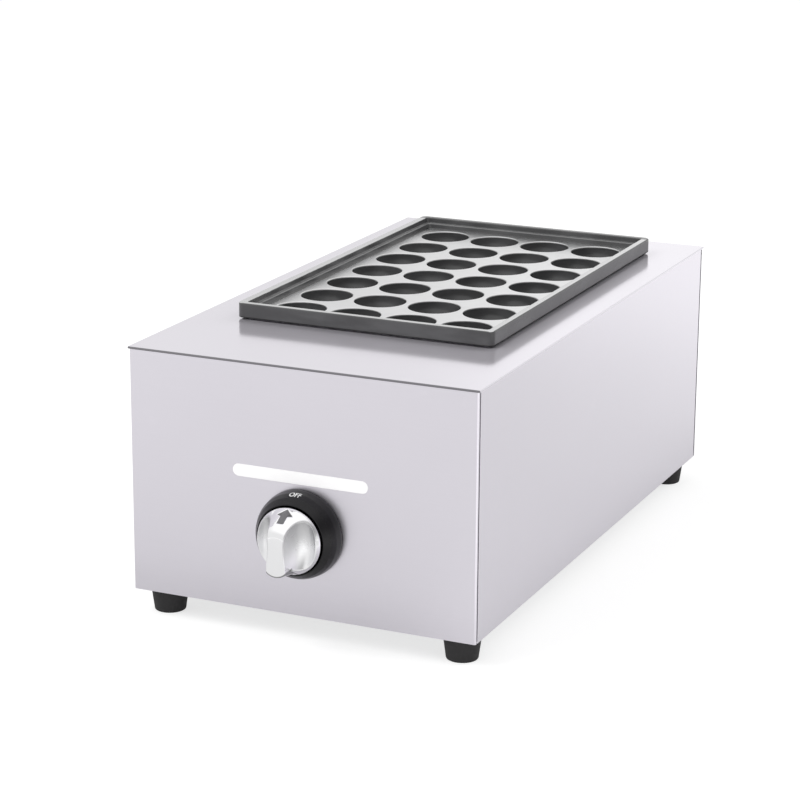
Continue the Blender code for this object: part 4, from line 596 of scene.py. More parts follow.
def finishes(settings):
    """The material of each slot of the record."""
    casing, plate, controls = settings.casing, settings.plate, settings.controls
    steel, along = casing.steel[:], (900, 14, 900)
    return {
        **{slot: metal_finish(*looks) for slot, looks in SMALL_PARTS.items()},
        "stainless_sheet": steel_finish("stainless_sheet_across", steel, (14, 900, 900)),
        "stainless_along": steel_finish("stainless_sheet_along", steel, along),
        "stainless_deck": steel_finish("stainless_sheet_deck", steel, along, 0.08, 0.60, deck_front),
        "galvanised_sheet": spangle_finish("galvanised_sheet_spangled", (0.56, 0.57, 0.585)),
        "coated_aluminium": coated_finish("coated_aluminium_cast", plate.coating[:], plate.bare[:]),
        "chromed_metal": chrome_finish("chromed_metal_polished", controls.chrome[:]),
        "black_plastic": plastic_finish("black_plastic_glossy", controls.bezel[:]),
        "white_print": plastic_finish("white_print", (0.88, 0.88, 0.88), 0.35),
        "grey_enamel": plastic_finish("grey_enamel_fired", controls.arrow[:], 0.30),
        "black_rubber": rubber_finish("black_rubber_moulded", casing.rubber[:]),
        "opal_glass": opal_finish("opal_glass_white", casing.window[:]),
        "cast_iron": iron_finish("cast_iron_blackened", (0.085, 0.080, 0.077)),
    }


FINISHES = {}


def finish_for(slot):
    """The slot's material, made when it is first asked for."""
    if not FINISHES:
        FINISHES.update(finishes(bpy.context.scene.grill))
    return FINISHES[slot]


def eased(corners, closed=False, steps=4):
    """The corners (u, v, radius) of a profile, each rounded by its radius."""
    points = []
    for place, (u, v, radius) in enumerate(corners):
        here = Vector((u, v))
        if not radius or (not closed and place in (0, len(corners) - 1)):
            points.append(here)
            continue
        before = Vector(corners[place - 1][:2]) - here
        after = Vector(corners[(place + 1) % len(corners)][:2]) - here
        reach = radius * tan((pi - before.angle(after)) / 2)
        reach = min(reach, before.length * 0.49, after.length * 0.49)
        start, end = here + before.normalized() * reach, here + after.normalized() * reach
        for step in range(steps + 1):
            share = step / steps
            points.append(start.lerp(here, share).lerp(here.lerp(end, share), share))
    return points


def skin(bm, rings, closed=False):
    """Quads from each ring of points to the next, and from the last to the first if it is closed."""
    rows = [[bm.verts.new(point) for point in ring] for ring in rings]
    for row, following in zip(rows, rows[1:] + (rows[:1] if closed else [])):
        for here in range(len(row)):
            there = (here + 1) % len(row)
            bm.faces.new((row[here], row[there], following[there], following[here]))
    return rows


def full_turn(steps):
    """The angles of one turn in even steps."""
    return [2 * pi * step / steps for step in range(steps)]


def turned(bm, profile, place, along, steps=FINE_STEPS, closed=False):
    """A profile of (reach along the axis, radius) points, turned once round the axis."""
    axis = Vector(along)
    side = axis.orthogonal().normalized()
    other = axis.cross(side)
    skin(bm, [
        [place + axis * reach + (side * cos(a) + other * sin(a)) * radius for a in full_turn(steps)]
        for reach, radius in profile
    ], closed)


def rounded_rectangle(half, shift, corner, z, centre_y):
    """The points of a level rectangle with round corners, moved out by shift, anticlockwise from +X."""
    points = []
    half_x, half_y = half.x + shift, half.y + shift
    for quarter, (sign_x, sign_y) in enumerate(((1, 1), (-1, 1), (-1, -1), (1, -1))):
        for step in range(CORNER_STEPS + 1):
            angle = pi / 2 * (quarter + step / CORNER_STEPS)
            x = sign_x * (half_x - corner) + corner * cos(angle)
            y = sign_y * (half_y - corner) + corner * sin(angle)
            points.append(Vector((x, centre_y + y, z)))
    return points


def obround(length, width, steps=16):
    """The outline of a slot with round ends, lying along its first axis."""
    radius = width / 2
    points = []
    for end, first in ((1, -pi / 2), (-1, pi / 2)):
        for step in range(steps + 1):
            angle = first + pi * step / steps
            points.append((end * (length / 2 - radius) + radius * cos(angle), radius * sin(angle)))
    return points


def prism(bm, outline, low, high, place):
    """A solid between two heights. Place turns an outline's point and a height into a corner."""
    rows = [[bm.verts.new(place(u, v, height)) for u, v in outline] for height in (low, high)]
    bm.faces.new(rows[0][::-1])
    bm.faces.new(rows[1])
    for here in range(len(rows[0])):
        there = (here + 1) % len(rows[0])
        bm.faces.new((rows[0][here], rows[0][there], rows[1][there], rows[1][here]))


def upright_prism(bm, outline, low, high):
    """An outline of (x, y) points between two heights."""
    prism(bm, outline, low, high, lambda x, y, height: (x, y, height))


def level_prism(bm, outline, low, high):
    """An outline of (x, z) points between two places along Y."""
    prism(bm, outline, low, high, lambda x, z, height: (x, height, z))


def box(bm, first, second):
    """A box between any two opposite corners."""
    low, high = (Vector(map(pick, first, second)) for pick in (min, max))
    corners = bmesh.ops.create_cube(bm, size=1)["verts"]
    bmesh.ops.scale(bm, vec=high - low, verts=corners)
    bmesh.ops.translate(bm, vec=(low + high) / 2, verts=corners)


def smooth(mesh):
    """Shades a mesh smooth but for its sharp edges."""
    mesh.shade_smooth()
    mesh.set_sharp_from_angle(angle=SHARP)


def placed(name, data):
    """An object of a mesh, lamp or camera, put into the scene."""
    made = bpy.data.objects.new(name, data)
    bpy.context.scene.collection.objects.link(made)
    return made


def raw(name, bm):
    """An object of a mesh whose doubles are merged and whose faces point outwards."""
    bmesh.ops.remove_doubles(bm, verts=bm.verts, dist=WELD)
    bmesh.ops.recalc_face_normals(bm, faces=bm.faces)
    mesh = bpy.data.meshes.new(name)
    bm.to_mesh(mesh)
    bm.free()
    smooth(mesh)
    return placed(name, mesh)


def solid(name, shape, *measures, **options):
    """An object of one shape, such as a box or a turned profile."""
    bm = bmesh.new()
    shape(bm, *measures, **options)
    return raw(name, bm)


def settle(made):
    """Turns what the modifiers show into the object's own plain mesh."""
    graph = bpy.context.evaluated_depsgraph_get()
    mesh = bpy.data.meshes.new_from_object(
        made.evaluated_get(graph), preserve_all_data_layers=True, depsgraph=graph
    )
    if not mesh.polygons:
        raise RuntimeError(made.name + " came out empty")
    made.modifiers.clear()
    made.data = mesh


def combine(made, tool, operation="DIFFERENCE"):
    """Cuts one object's shape from the piece, or joins it to the piece, and removes that object."""
    modifier = made.modifiers.new("shape", "BOOLEAN")
    modifier.operation = operation
    modifier.solver = "EXACT"
    modifier.object = tool
    settle(made)
    bpy.data.objects.remove(tool)


def weld(made, first, second):
    """Joins a box to the piece."""
    combine(made, solid("block", box, first, second), "UNION")


def drill(made, place, radius, along=(0, 1, 0)):
    """Cuts a round hole through a sheet."""
    reach = 2 * OVERRUN
    profile = [(-reach, 0), (-reach, radius), (reach, radius), (reach, 0)]
    combine(made, solid("drill", turned, profile, Vector(place), along, ROUND_STEPS))


def flatten(made):
    """Keeps the piece's flat faces flat in the light."""
    weights = made.modifiers.new("flats", "WEIGHTED_NORMAL")
    weights.keep_sharp = True
    settle(made)


def soften(made, width=None):
    """Rounds the piece's sharp edges, by the casing's own setting if no width is given."""
    made.data.shade_smooth()
    bevel = made.modifiers.new("edges", "BEVEL")
    bevel.width, bevel.segments = width or bpy.context.scene.grill.casing.edge, 2
    bevel.limit_method, bevel.angle_limit = "ANGLE", radians(40)
    bevel.use_clamp_overlap = True
    flatten(made)


def dress(made, body, slot, *nodes, finish=None):
    """Gives a finished piece its material and its body, and hides the nodes that it stands for."""
    made.data.materials.clear()
    made.data.materials.append(finish_for(finish or slot))
    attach(made, body)
    if nodes:
        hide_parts(*nodes)


def new_tree(name, sockets):
    """A Geometry Nodes tree, as its nodes and a function that finds an input by its name."""
    tree = bpy.data.node_groups.new(name, "GeometryNodeTree")
    for socket, kind in sockets.items():
        tree.interface.new_socket(name=socket, in_out="INPUT", socket_type="NodeSocket" + kind)
    tree.interface.new_socket(name="Geometry", in_out="OUTPUT", socket_type="NodeSocketGeometry")
    nodes = NodeTree(tree)
    return nodes, nodes.node("NodeGroupInput").output


def close_tree(nodes, geometry, material):
    """Ends a tree in Realize Instances and Set Material, and returns it."""
    real = nodes.node("GeometryNodeRealizeInstances", {0: geometry})
    painted = nodes.node("GeometryNodeSetMaterial", {"Geometry": real, "Material": material})
    nodes.end("NodeGroupOutput", painted)
    return nodes.tree


def rows_tree(name):
    """A tree that sets the object's own shape down in rows and columns."""
    nodes, given = new_tree(name, {
        "Shape": "Geometry", "Columns": "Int", "Rows": "Int", "Pitch Across": "Float",
        "Pitch Along": "Float", "Centre": "Vector", "Turn": "Rotation", "Material": "Material",
    })
    columns, rows = given("Columns"), given("Rows")
    grid = nodes.node("GeometryNodeMeshGrid", {
        "Vertices X": columns, "Vertices Y": rows,
        "Size X": (columns - 1) * given("Pitch Across"), "Size Y": (rows - 1) * given("Pitch Along"),
    })
    points = nodes.node("GeometryNodeTransform", {
        "Geometry": grid, "Translation": given("Centre"), "Rotation": given("Turn"),
    })
    filled = nodes.node("GeometryNodeInstanceOnPoints", {"Points": points, "Instance": given("Shape")})
    return close_tree(nodes, filled, given("Material"))


def thread_tree(name):
    """A tree that winds a ridge round the Y axis and joins it to the object's own shape."""
    nodes, given = new_tree(name, {
        "Shape": "Geometry", "Turns": "Float", "Length": "Float", "Radius": "Float",
        "Ridge": "Float", "Sides": "Int", "Centre": "Vector", "Material": "Material",
    })
    path = nodes.node("GeometryNodeCurveSpiral", {
        "Resolution": 40, "Rotations": given("Turns"), "Start Radius": given("Radius"),
        "End Radius": given("Radius"), "Height": given("Length"),
    })
    section = nodes.node("GeometryNodeCurvePrimitiveCircle", {
        "Resolution": given("Sides"), "Radius": given("Ridge"),
    })
    ridge = nodes.node("GeometryNodeCurveToMesh", {
        "Curve": path, "Profile Curve": section, "Fill Caps": True,
    })
    thread = nodes.node("GeometryNodeTransform", {
        "Geometry": ridge, "Translation": given("Centre"), "Rotation": (-pi / 2, 0, 0),
    })
    joined = nodes.node("GeometryNodeJoinGeometry", {0: given("Shape")})
    nodes.feed(joined.socket.node.inputs[0], thread)
    return close_tree(nodes, joined, given("Material"))


def grow(made, make, **inputs):
    """Runs a Geometry Nodes tree, made once, on the object and keeps the result as its plain mesh."""
    name = "grill_" + make.__name__
    tree = bpy.data.node_groups.get(name) or make(name)
    modifier = made.modifiers.new("pattern", "NODES")
    modifier.node_group = tree
    items = tree.interface.items_tree
    sockets = {item.name: item.identifier for item in items if item.in_out == "INPUT"}
    for socket, value in inputs.items():
        modifier[sockets[socket.replace("_", " ")]] = value
    settle(made)


def spread(made, slot, grid, pitch, centre, turn=(0, 0, 0)):
    """Sets the object's own shape down in columns and rows round a centre."""
    grow(made, rows_tree, Columns=grid[0], Rows=grid[1], Pitch_Across=pitch[0], Pitch_Along=pitch[1],
         Centre=centre, Turn=turn, Material=finish_for(slot))


class StageOperator(bpy.types.Operator):
    """Makes the camera, the floor, the sky and the lamps."""
    bl_idname = "grill.stage"
    bl_label = "Stage"

    def execute(self, context):
        studio = context.scene.grill.studio
        context.scene.view_settings.view_transform = "Standard"
        self.camera(context)
        self.floor(studio)
        self.sky(context, studio)
        self.lamps(studio)
        return {"FINISHED"}

    def camera(self, context):
        lens = bpy.data.cameras.new("camera")
        lens.lens, lens.sensor_width = VIEW_LENS, 36
        made = placed("camera", lens)
        right = VIEW_AHEAD.cross(Vector((0, 0, 1))).normalized()
        up = right.cross(VIEW_AHEAD)
        tilted_right = right * cos(VIEW_ROLL) + up * sin(VIEW_ROLL)
        tilted_up = up * cos(VIEW_ROLL) - right * sin(VIEW_ROLL)
        axes = Matrix((tilted_right, tilted_up, -VIEW_AHEAD)).transposed()
        made.matrix_world = Matrix.Translation(VIEW_PLACE) @ axes.to_4x4()
        context.scene.camera = made

    def floor(self, studio):
        grid = {"x_segments": 2, "y_segments": 2, "size": FLOOR_SIZE}
        made = solid("floor", bmesh.ops.create_grid, **grid)
        made.data.materials.append(self.floor_material(studio))

    def floor_material(self, studio):
        """Plain pale floor. Seen directly or in metal, part of it shows white, and the shadow stays. In
        metal it also shows painted pools of light and a painted shadow strip in front of the casing.
        """
        made = bpy.data.materials.new("studio_floor")
        nodes = blank(made)
        ray = nodes.node("ShaderNodeLightPath")
        camera, glossy = ray.output("Is Camera Ray"), ray.output("Is Glossy Ray")
        seen = camera + glossy + ray.output("Is Transmission Ray")
        place = nodes.node("ShaderNodeTexCoord").output("Object")
        x = nodes.node("ShaderNodeSeparateXYZ", {0: place})
        y = x.output("Y")
        reach = nodes.node("ShaderNodeVectorMath", {0: place}, operation="LENGTH").output("Value")
        # Painted light seen only in metal: pools at the right corner and side, and a shadow strip
        # before the casing
        corner = x.within(0.16, 0.30) * (1 - y.within(-0.30, -0.20))
        right = x.within(0.02, 0.13) * (1 - x.within(0.18, 0.45))
        contact_shadow = y.within(-0.335, -0.285) * (1 - x.within(0.13, 0.18))
        near = FLOOR_NEAR - FLOOR_FALL * y.within(-0.3, 0.2) + FLOOR_BEHIND * y.within(0.42, 1.0)
        near = near + FLOOR_CORNER_LIGHT * corner + FLOOR_RIGHT_LIGHT * right - FLOOR_CONTACT_SHADOW * contact_shadow
        level = near + reach.within(1.0, 3.0) * (FLOOR_FAR - near)
        strength = FLOOR_SEEN * camera + glossy * level
        plain = nodes.node("ShaderNodeBsdfDiffuse", {"Color": (*studio.floor, 1)})
        glow = nodes.node("ShaderNodeEmission", {"Strength": strength})
        share = nodes.node(
            "ShaderNodeMath", {0: seen, 1: studio.floor_share}, operation="MULTIPLY", use_clamp=True)
        both = nodes.node("ShaderNodeMixShader", {0: share, 1: plain, 2: glow})
        nodes.end("ShaderNodeOutputMaterial", both)
        return made

    def sky(self, context, studio):
        """Even light from all round, white behind the object. In metal it differs from side to side."""
        world = bpy.data.worlds.new("studio_sky")
        context.scene.world = world
        world.cycles.sampling_method = "NONE"
        nodes = blank(world)
        ray = nodes.node("ShaderNodeLightPath")
        direction = nodes.node("ShaderNodeTexCoord").output("Generated")
        x = nodes.node("ShaderNodeSeparateXYZ", {0: direction})
        y, z = x.output("Y"), x.output("Z")
        right = x.within(0.35, 0.9) * z.within(0.02, 0.35)
        behind = x.within(-0.40, -0.33) * (1 - x.within(-0.25, -0.10)) * y.within(0.5, 0.8)
        level = SKY_ROUND + SKY_ABOVE * z.within(0.45, 0.85) - SKY_FALL * y.within(0.3, 0.8)
        level = level - SKY_RIGHT * right + SKY_BEHIND * behind
        glossy = ray.output("Is Glossy Ray") * (level - studio.sky)
        seen = (1 - studio.sky) * (ray.output("Is Camera Ray") + ray.output("Is Transmission Ray"))
        light = {"Color": (1, 1, 1, 1), "Strength": studio.sky + seen + glossy}
        nodes.end("ShaderNodeOutputWorld", nodes.node("ShaderNodeBackground", light))

    def lamps(self, studio):
        for name, place, size, share in (
            ("key_lamp", (-1.3, -1.5, 2.2), 1.6, 1.0),
            ("rim_lamp", (1.5, 1.6, 1.8), 1.4, 0.5),
        ):
            lamp = bpy.data.lights.new(name, "AREA")
            lamp.energy, lamp.size = studio.key * share, size
            made = placed(name, lamp)
            made.visible_glossy = False
            made.location = place
            made.rotation_mode = "QUATERNION"
            made.rotation_quaternion = (Vector((0, 0, 0.1)) - Vector(place)).to_track_quat("-Z", "Y")


class DeckOperator(bpy.types.Operator):
    """Makes the top sheet with its upstand round the cut-out."""
    bl_idname = "grill.deck"
    bl_label = "Deck"

    def execute(self, context):
        half = FLOOR_HALF + Vector((UPSTAND_INSET, UPSTAND_INSET))
        top = DECK_TOP + GROOVE_RISE - CLEARANCE
        edge = eased([
            (-RUN_UP, DECK_UNDER, 0), (0, DECK_UNDER, 0.0003),
            (0, DECK_TOP, 0.0006), (-RUN_UP, DECK_TOP, 0),
        ])[1:-1]
        upstand = eased([
            (RUN_UP, DECK_TOP, 0), (UPSTAND_SHEET, DECK_TOP, 0.0010), (UPSTAND_SHEET, top, 0.0003),
            (0, top, 0.0003), (0, DECK_UNDER, 0.0003), (RUN_UP, DECK_UNDER, 0),
        ])[1:-1]
        rings = [
            rounded_rectangle(HALF_DECK, shift, max(DECK_CORNER + shift, CLEARANCE), z, MIDDLE)
            for shift, z in edge
        ]
        rings += [
            rounded_rectangle(half, shift, UPSTAND_CORNER + shift / 2, z, PLATE_Y)
            for shift, z in upstand
        ]
        made = solid("deck_sheet", skin, rings, closed=True)
        flatten(made)
        dress(made, "root", "stainless_sheet", "deck", finish="stainless_deck")
        return {"FINISHED"}


def folded_panel(name, face, inward):
    """A front or back sheet, folded round at both sides, with laps and a flange."""
    fold_end, inner = face + inward * FOLD_RETURN, face + inward * PANEL_SHEET
    outline = []
    for side in (1, -1):
        fold = [(side * HALF_WIDTH, fold_end)]
        for step in range(FOLD_STEPS + 1):
            angle = pi / 2 * step / FOLD_STEPS
            x = HALF_WIDTH - FOLD_RADIUS + FOLD_RADIUS * cos(angle)
            fold.append((side * x, face + inward * FOLD_RADIUS * (1 - sin(angle))))
        outline += fold[::side]
    inset = HALF_WIDTH - PANEL_SHEET
    outline += [(-inset, fold_end), (-inset, inner), (inset, inner), (inset, fold_end)]
    panel = solid(name, upright_prism, outline, CASING_BOTTOM, PANEL_TOP)
    root, lap, flange = (face + inward * depth for depth in (PANEL_SHEET / 2, LAP_DEPTH, FLANGE_WIDTH))
    under = PANEL_TOP - PANEL_SHEET
    for side in (1, -1):
        weld(panel, (side * INNER_HALF_WIDTH, root, SEAT),
             (side * (INNER_HALF_WIDTH - PANEL_SHEET), lap, under - CLEARANCE))
    reach = HALF_WIDTH - FLANGE_NOTCH
    weld(panel, (-reach, root, under), (reach, flange, PANEL_TOP - CLEARANCE))
    return panel


def slot_cutters(shape, outline, grid, pitch, centre, turn=(0, 0, 0)):
    """A field of slots as one cutter, spread by the rows tree."""
    cutters = solid("slots", shape, outline, -OVERRUN, OVERRUN)
    spread(cutters, "zinc_plated_steel", grid, pitch, centre, turn)
    return cutters


class FrontPanelOperator(bpy.types.Operator):
    """Makes the front sheet with its sight slot and the spindle's hole."""
    bl_idname = "grill.front_panel"
    bl_label = "Front Panel"

    def execute(self, context):
        panel = folded_panel("front_sheet", PANEL_FRONT, 1)
        outline = [(x, SLOT_LEVEL + z) for x, z in obround(SLOT_LENGTH, SLOT_HEIGHT)]
        combine(panel, solid("slot", level_prism, outline, PANEL_FRONT - OVERRUN, PANEL_BACK + OVERRUN))
        drill(panel, KNOB_PLACE, KNOB_BORE)
        soften(panel)
        dress(panel, "root", "stainless_sheet", "front_panel")
        return {"FINISHED"}


class BackPanelOperator(bpy.types.Operator):
    """Makes the back sheet with its vents, the gas inlet's hole and the screw holes."""
    bl_idname = "grill.back_panel"
    bl_label = "Back Panel"

    def execute(self, context):
        panel = folded_panel("back_sheet", PANEL_REAR, -1)
        outline = [(-z, x) for x, z in obround(*VENT_SIZE, 8)]
        centre = (0, PANEL_REAR, VENT_LEVEL - VENT_PITCH[1] / 2)
        combine(panel, slot_cutters(
            level_prism, outline, VENT_GRID, VENT_PITCH, centre, (pi / 2, 0, 0)))
        drill(panel, INLET_PLACE, INLET_RADIUS + CLEARANCE)
        for side in (1, -1):
            drill(panel, (side * BACK_SCREW.x, BACK_SCREW.y, BACK_SCREW.z), PANEL_SCREW_BORE)
        soften(panel)
        dress(panel, "root", "stainless_sheet", "back_panel")
        return {"FINISHED"}


class SidePanelsOperator(bpy.types.Operator):
    """Makes the two plain side sheets."""
    bl_idname = "grill.side_panels"
    bl_label = "Side Panels"

    def execute(self, context):
        end = FOLD_RETURN + FOLD_GAP
        flange_end = LAP_DEPTH + FLANGE_SPACING
        for name, side in (("left", -1), ("right", 1)):
            panel = solid(
                name + "_sheet", box, (side * HALF_WIDTH, PANEL_FRONT + end, CASING_BOTTOM),
                (side * (HALF_WIDTH - PANEL_SHEET), PANEL_REAR - end, PANEL_TOP))
            root, reach = side * (HALF_WIDTH - PANEL_SHEET / 2), side * (HALF_WIDTH - FLANGE_WIDTH)
            weld(panel, (root, PANEL_FRONT + flange_end, PANEL_TOP - PANEL_SHEET),
                 (reach, PANEL_REAR - flange_end, PANEL_TOP - CLEARANCE))
            soften(panel)
            dress(panel, "root", "stainless_sheet", name + "_side_panel", finish="stainless_along")
        return {"FINISHED"}


class BottomPanOperator(bpy.types.Operator):
    """Makes the bottom sheet with its upturned edges and air slots."""
    bl_idname = "grill.bottom_pan"
    bl_label = "Bottom Pan"

    def execute(self, context):
        front, rear = PANEL_BACK + CLEARANCE, PANEL_REAR - PANEL_SHEET - CLEARANCE
        rise, root = CASING_BOTTOM + PAN_RISE, CASING_BOTTOM + PANEL_SHEET / 2
        side_end, reach = LAP_DEPTH + FLANGE_SPACING, HALF_WIDTH - FLANGE_NOTCH
        pan = solid("bottom_sheet", box, (-INNER_HALF_WIDTH, front, CASING_BOTTOM),
                    (INNER_HALF_WIDTH, rear, CASING_BOTTOM + PANEL_SHEET))
        inner = INNER_HALF_WIDTH - PANEL_SHEET
        for low, high in (
            ((-INNER_HALF_WIDTH, PANEL_FRONT + side_end), (-inner, PANEL_REAR - side_end)),
            ((inner, PANEL_FRONT + side_end), (INNER_HALF_WIDTH, PANEL_REAR - side_end)),
            ((-reach, front), (reach, front + PANEL_SHEET)),
            ((-reach, rear - PANEL_SHEET), (reach, rear)),
        ):
            weld(pan, (*low, root), (*high, rise))
        outline = obround(*AIR_SLOT_SIZE, 8)
        combine(pan, slot_cutters(
            upright_prism, outline, AIR_SLOT_GRID, AIR_SLOT_PITCH, (0, PLATE_Y, CASING_BOTTOM)))
        for side in (1, -1):
            for y in (FOOT_PLACE.y, -FOOT_PLACE.y):
                drill(pan, (side * FOOT_PLACE.x, MIDDLE + y, CASING_BOTTOM), FOOT_BOLT_BORE, (0, 0, 1))
            drill(pan, (side * BACK_SCREW.x, rear, BACK_SCREW.z), PANEL_SCREW_BORE)
        soften(pan)
        dress(pan, "root", "galvanised_sheet", "bottom_pan")
        return {"FINISHED"}


class FeetOperator(bpy.types.Operator):
    """Makes the four rubber feet."""
    bl_idname = "grill.feet"
    bl_label = "Feet"

    def execute(self, context):
        top = CASING_BOTTOM - CLEARANCE
        profile = eased([
            *FOOT_WALL, (top, 0.01325, 0.0007), (top, FOOT_BOLT_BORE, 0.0003),
            (top - FOOT_BORE_DEPTH, FOOT_BOLT_BORE, 0), (top - FOOT_BORE_DEPTH, 0, 0),
        ])
        feet = solid("rubber_feet", turned, profile, Vector(), (0, 0, 1), ROUND_STEPS)
        spread(feet, "black_rubber", (2, 2), 2 * FOOT_PLACE, (0, MIDDLE, 0))
        dress(feet, "root", "black_rubber", *["foot_" + corner for corner in CORNERS])
        return {"FINISHED"}


def screw_shape(name, head_radius, shank_radius, shank, upright=False):
    """A pan-head screw with a cross recess. Its head's underside is at the origin."""
    head = SCREW_HEAD
    profile = eased([
        (-shank, 0, 0), (-shank, shank_radius * 0.7, 0.0002), (-shank + 0.0006, shank_radius, 0.0002),
        (0, shank_radius, 0), (0, head_radius, 0.0002), (head * 0.45, head_radius, head * 0.4),
        (head, head_radius * 0.45, head_radius), (head, 0, 0),
    ])
    made = solid(name, turned, profile, Vector(), (0, 1, 0), 32)
    length, width = head_radius * 0.55, head_radius * 0.11
    for turn in (0, pi / 2):
        recess = bmesh.new()
        box(recess, (-length, head * 0.35, -width), (length, head + OVERRUN, width))
        bmesh.ops.rotate(recess, verts=recess.verts, matrix=Matrix.Rotation(turn, 3, "Y"))
        combine(made, raw("recess", recess))
    if upright:
        made.data.transform(Matrix.Rotation(pi / 2, 4, "X"))
    smooth(made.data)
    return made


class ScrewsOperator(bpy.types.Operator):
    """Makes the screws of the back panel, of the valve and of the feet."""
    bl_idname = "grill.screws"
    bl_label = "Screws"

    def execute(self, context):
        zinc = "zinc_plated_steel"
        back = screw_shape("back_screws", *BACK_SCREW_SIZE)
        spread(back, zinc, (2, 1), (2 * BACK_SCREW.x, 0), (0, PANEL_REAR + CLEARANCE, BACK_SCREW.z))
        dress(back, "root", zinc, "back_screw_left", "back_screw_right")

        low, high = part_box("valve_screw_left")
        middle = (low + high) / 2
        under = high.y - SCREW_HEAD
        valve = screw_shape("valve_screws", *VALVE_SCREW_SIZE, under - low.y)
        apart = 2 * (KNOB_PLACE.x - middle.x)
        spread(valve, zinc, (2, 1), (apart, 0), (KNOB_PLACE.x, under, middle.z))
        dress(valve, "root", zinc, "valve_screw_left", "valve_screw_right")

        low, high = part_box("foot_bolt_front_left")
        bolts = screw_shape("foot_bolts", *FOOT_BOLT_SIZE, SEAT - low.z, upright=True)
        spread(bolts, zinc, (2, 2), 2 * FOOT_PLACE, (0, MIDDLE, SEAT))
        dress(bolts, "root", zinc, *["foot_bolt_" + corner for corner in CORNERS])
        return {"FINISHED"}


class CastPlateOperator(bpy.types.Operator):
    """Makes the cast plate: its rim, its stepped wall, its floor and the cups."""
    bl_idname = "grill.cast_plate"
    bl_label = "Cast Plate"

    def execute(self, context):
        plate = context.scene.grill.plate
        under = FLOOR_RISE - FLOOR_THICKNESS
        profile = eased([
            (0, under, 0), (GROOVE_INSET, under, 0.0005), (GROOVE_INSET, GROOVE_RISE, 0.0005),
            (SKIRT_INSET, GROOVE_RISE, 0.0005), (SKIRT_INSET, SKIRT_RISE, 0.0005),
            (RIM_INSET, SKIRT_RISE, 0.0006), (RIM_INSET, RIM_RISE, 0.0010),
            (LEDGE_INSET, RIM_RISE, 0.0010), (0.0032, LEDGE_RISE, 0.0006),
            (0.0005, LEDGE_RISE, 0.0005), (0, FLOOR_RISE, 0.0008), (-0.004, FLOOR_RISE, 0),
        ])[1:-1]
        bm = bmesh.new()
        rows = skin(bm, [
            rounded_rectangle(FLOOR_HALF, inset, self.corner(inset), DECK_TOP + rise, PLATE_Y)
            for inset, rise in profile
        ])
        cups = self.cups(plate)
        self.floor(bm, rows[-1], plate, plate.cup_radius + plate.mouth_round, DECK_TOP + FLOOR_RISE)
        self.floor(bm, rows[0], plate, plate.cup_radius + CUP_WALL, DECK_TOP + under)
        bm.from_mesh(cups.data)
        bpy.data.objects.remove(cups)
        made = raw("cast_plate", bm)
        flatten(made)
        dress(made, "baking_plate", "coated_aluminium", "baking_plate")
        return {"FINISHED"}

    def corner(self, inset):
        """The rim's corner radius, from the inner wall out to the skirt."""
        share = min(max((inset - LEDGE_INSET) / (RIM_INSET - LEDGE_INSET), 0), 1)
        return INNER_CORNER + (OUTER_CORNER - INNER_CORNER) * share

    def floor(self, bm, border, plate, radius, z):
        """A flat face from the border to the edge of every cup."""
        edges = [bm.edges.get((here, there)) for here, there in zip(border, border[1:] + border[:1])]
        turns = full_turn(CUP_STEPS)
        for column in range(plate.columns):
            for row in range(plate.rows):
                x = (column - (plate.columns - 1) / 2) * plate.pitch_x
                y = PLATE_Y + (row - (plate.rows - 1) / 2) * plate.pitch_y
                ring = [bm.verts.new((x + radius * cos(a), y + radius * sin(a), z)) for a in turns]
                edges += [bm.edges.new(pair) for pair in zip(ring, ring[1:] + ring[:1])]
        bmesh.ops.triangle_fill(bm, use_beauty=True, edges=edges)

    def cups(self, plate):
        """All cups, spread from one by the rows tree."""
        place = Vector((0, 0, DECK_TOP + FLOOR_RISE))
        angles = [radians(angle) for angle in range(0, CUP_BOTTOM_ANGLE + 1, 10)]
        mouth = eased([(0.004, 0, 0), (0, 0, plate.mouth_round), (0, -CUP_STRAIGHT, 0)])[1:-1]
        inside = [(height, plate.cup_radius + shift) for shift, height in mouth]
        inside += [(-CUP_STRAIGHT - CUP_ROUND * sin(a), plate.cup_radius * cos(a)) for a in angles]
        outer = plate.cup_radius + CUP_WALL
        depth = CUP_ROUND + CUP_WALL
        outside = [(-FLOOR_THICKNESS, outer)]
        outside += [(-CUP_STRAIGHT - depth * sin(a), outer * cos(a)) for a in angles[1:]]
        bm = bmesh.new()
        for profile in (inside, outside):
            turned(bm, profile + [(profile[-1][0], 0)], place, (0, 0, 1), CUP_STEPS)
        made = raw("cups", bm)
        grid, pitch = (plate.columns, plate.rows), (plate.pitch_x, plate.pitch_y)
        spread(made, "coated_aluminium", grid, pitch, (0, PLATE_Y, 0))
        return made


class SightWindowOperator(bpy.types.Operator):
    """Makes the opal window whose raised middle fills the sight slot."""
    bl_idname = "grill.sight_window"
    bl_label = "Sight Window"

    def execute(self, context):
        front = PANEL_BACK + CLEARANCE
        half_x, half_z = SLOT_LENGTH / 2 + WINDOW_BORDER, SLOT_HEIGHT / 2 + WINDOW_BORDER
        window = solid("opal_window", box, (-half_x, front, SLOT_LEVEL - half_z),
                       (half_x, front + WINDOW_THICKNESS, SLOT_LEVEL + half_z))
        outline = obround(SLOT_LENGTH - 2 * WINDOW_GAP, SLOT_HEIGHT - 2 * WINDOW_GAP)
        combine(window, solid(
            "middle", level_prism, [(x, SLOT_LEVEL + z) for x, z in outline],
            PANEL_FRONT + WINDOW_RECESS, front + WINDOW_THICKNESS / 2), "UNION")
        soften(window, WINDOW_EDGE)
        dress(window, "root", "opal_glass", "sight_window")
        return {"FINISHED"}


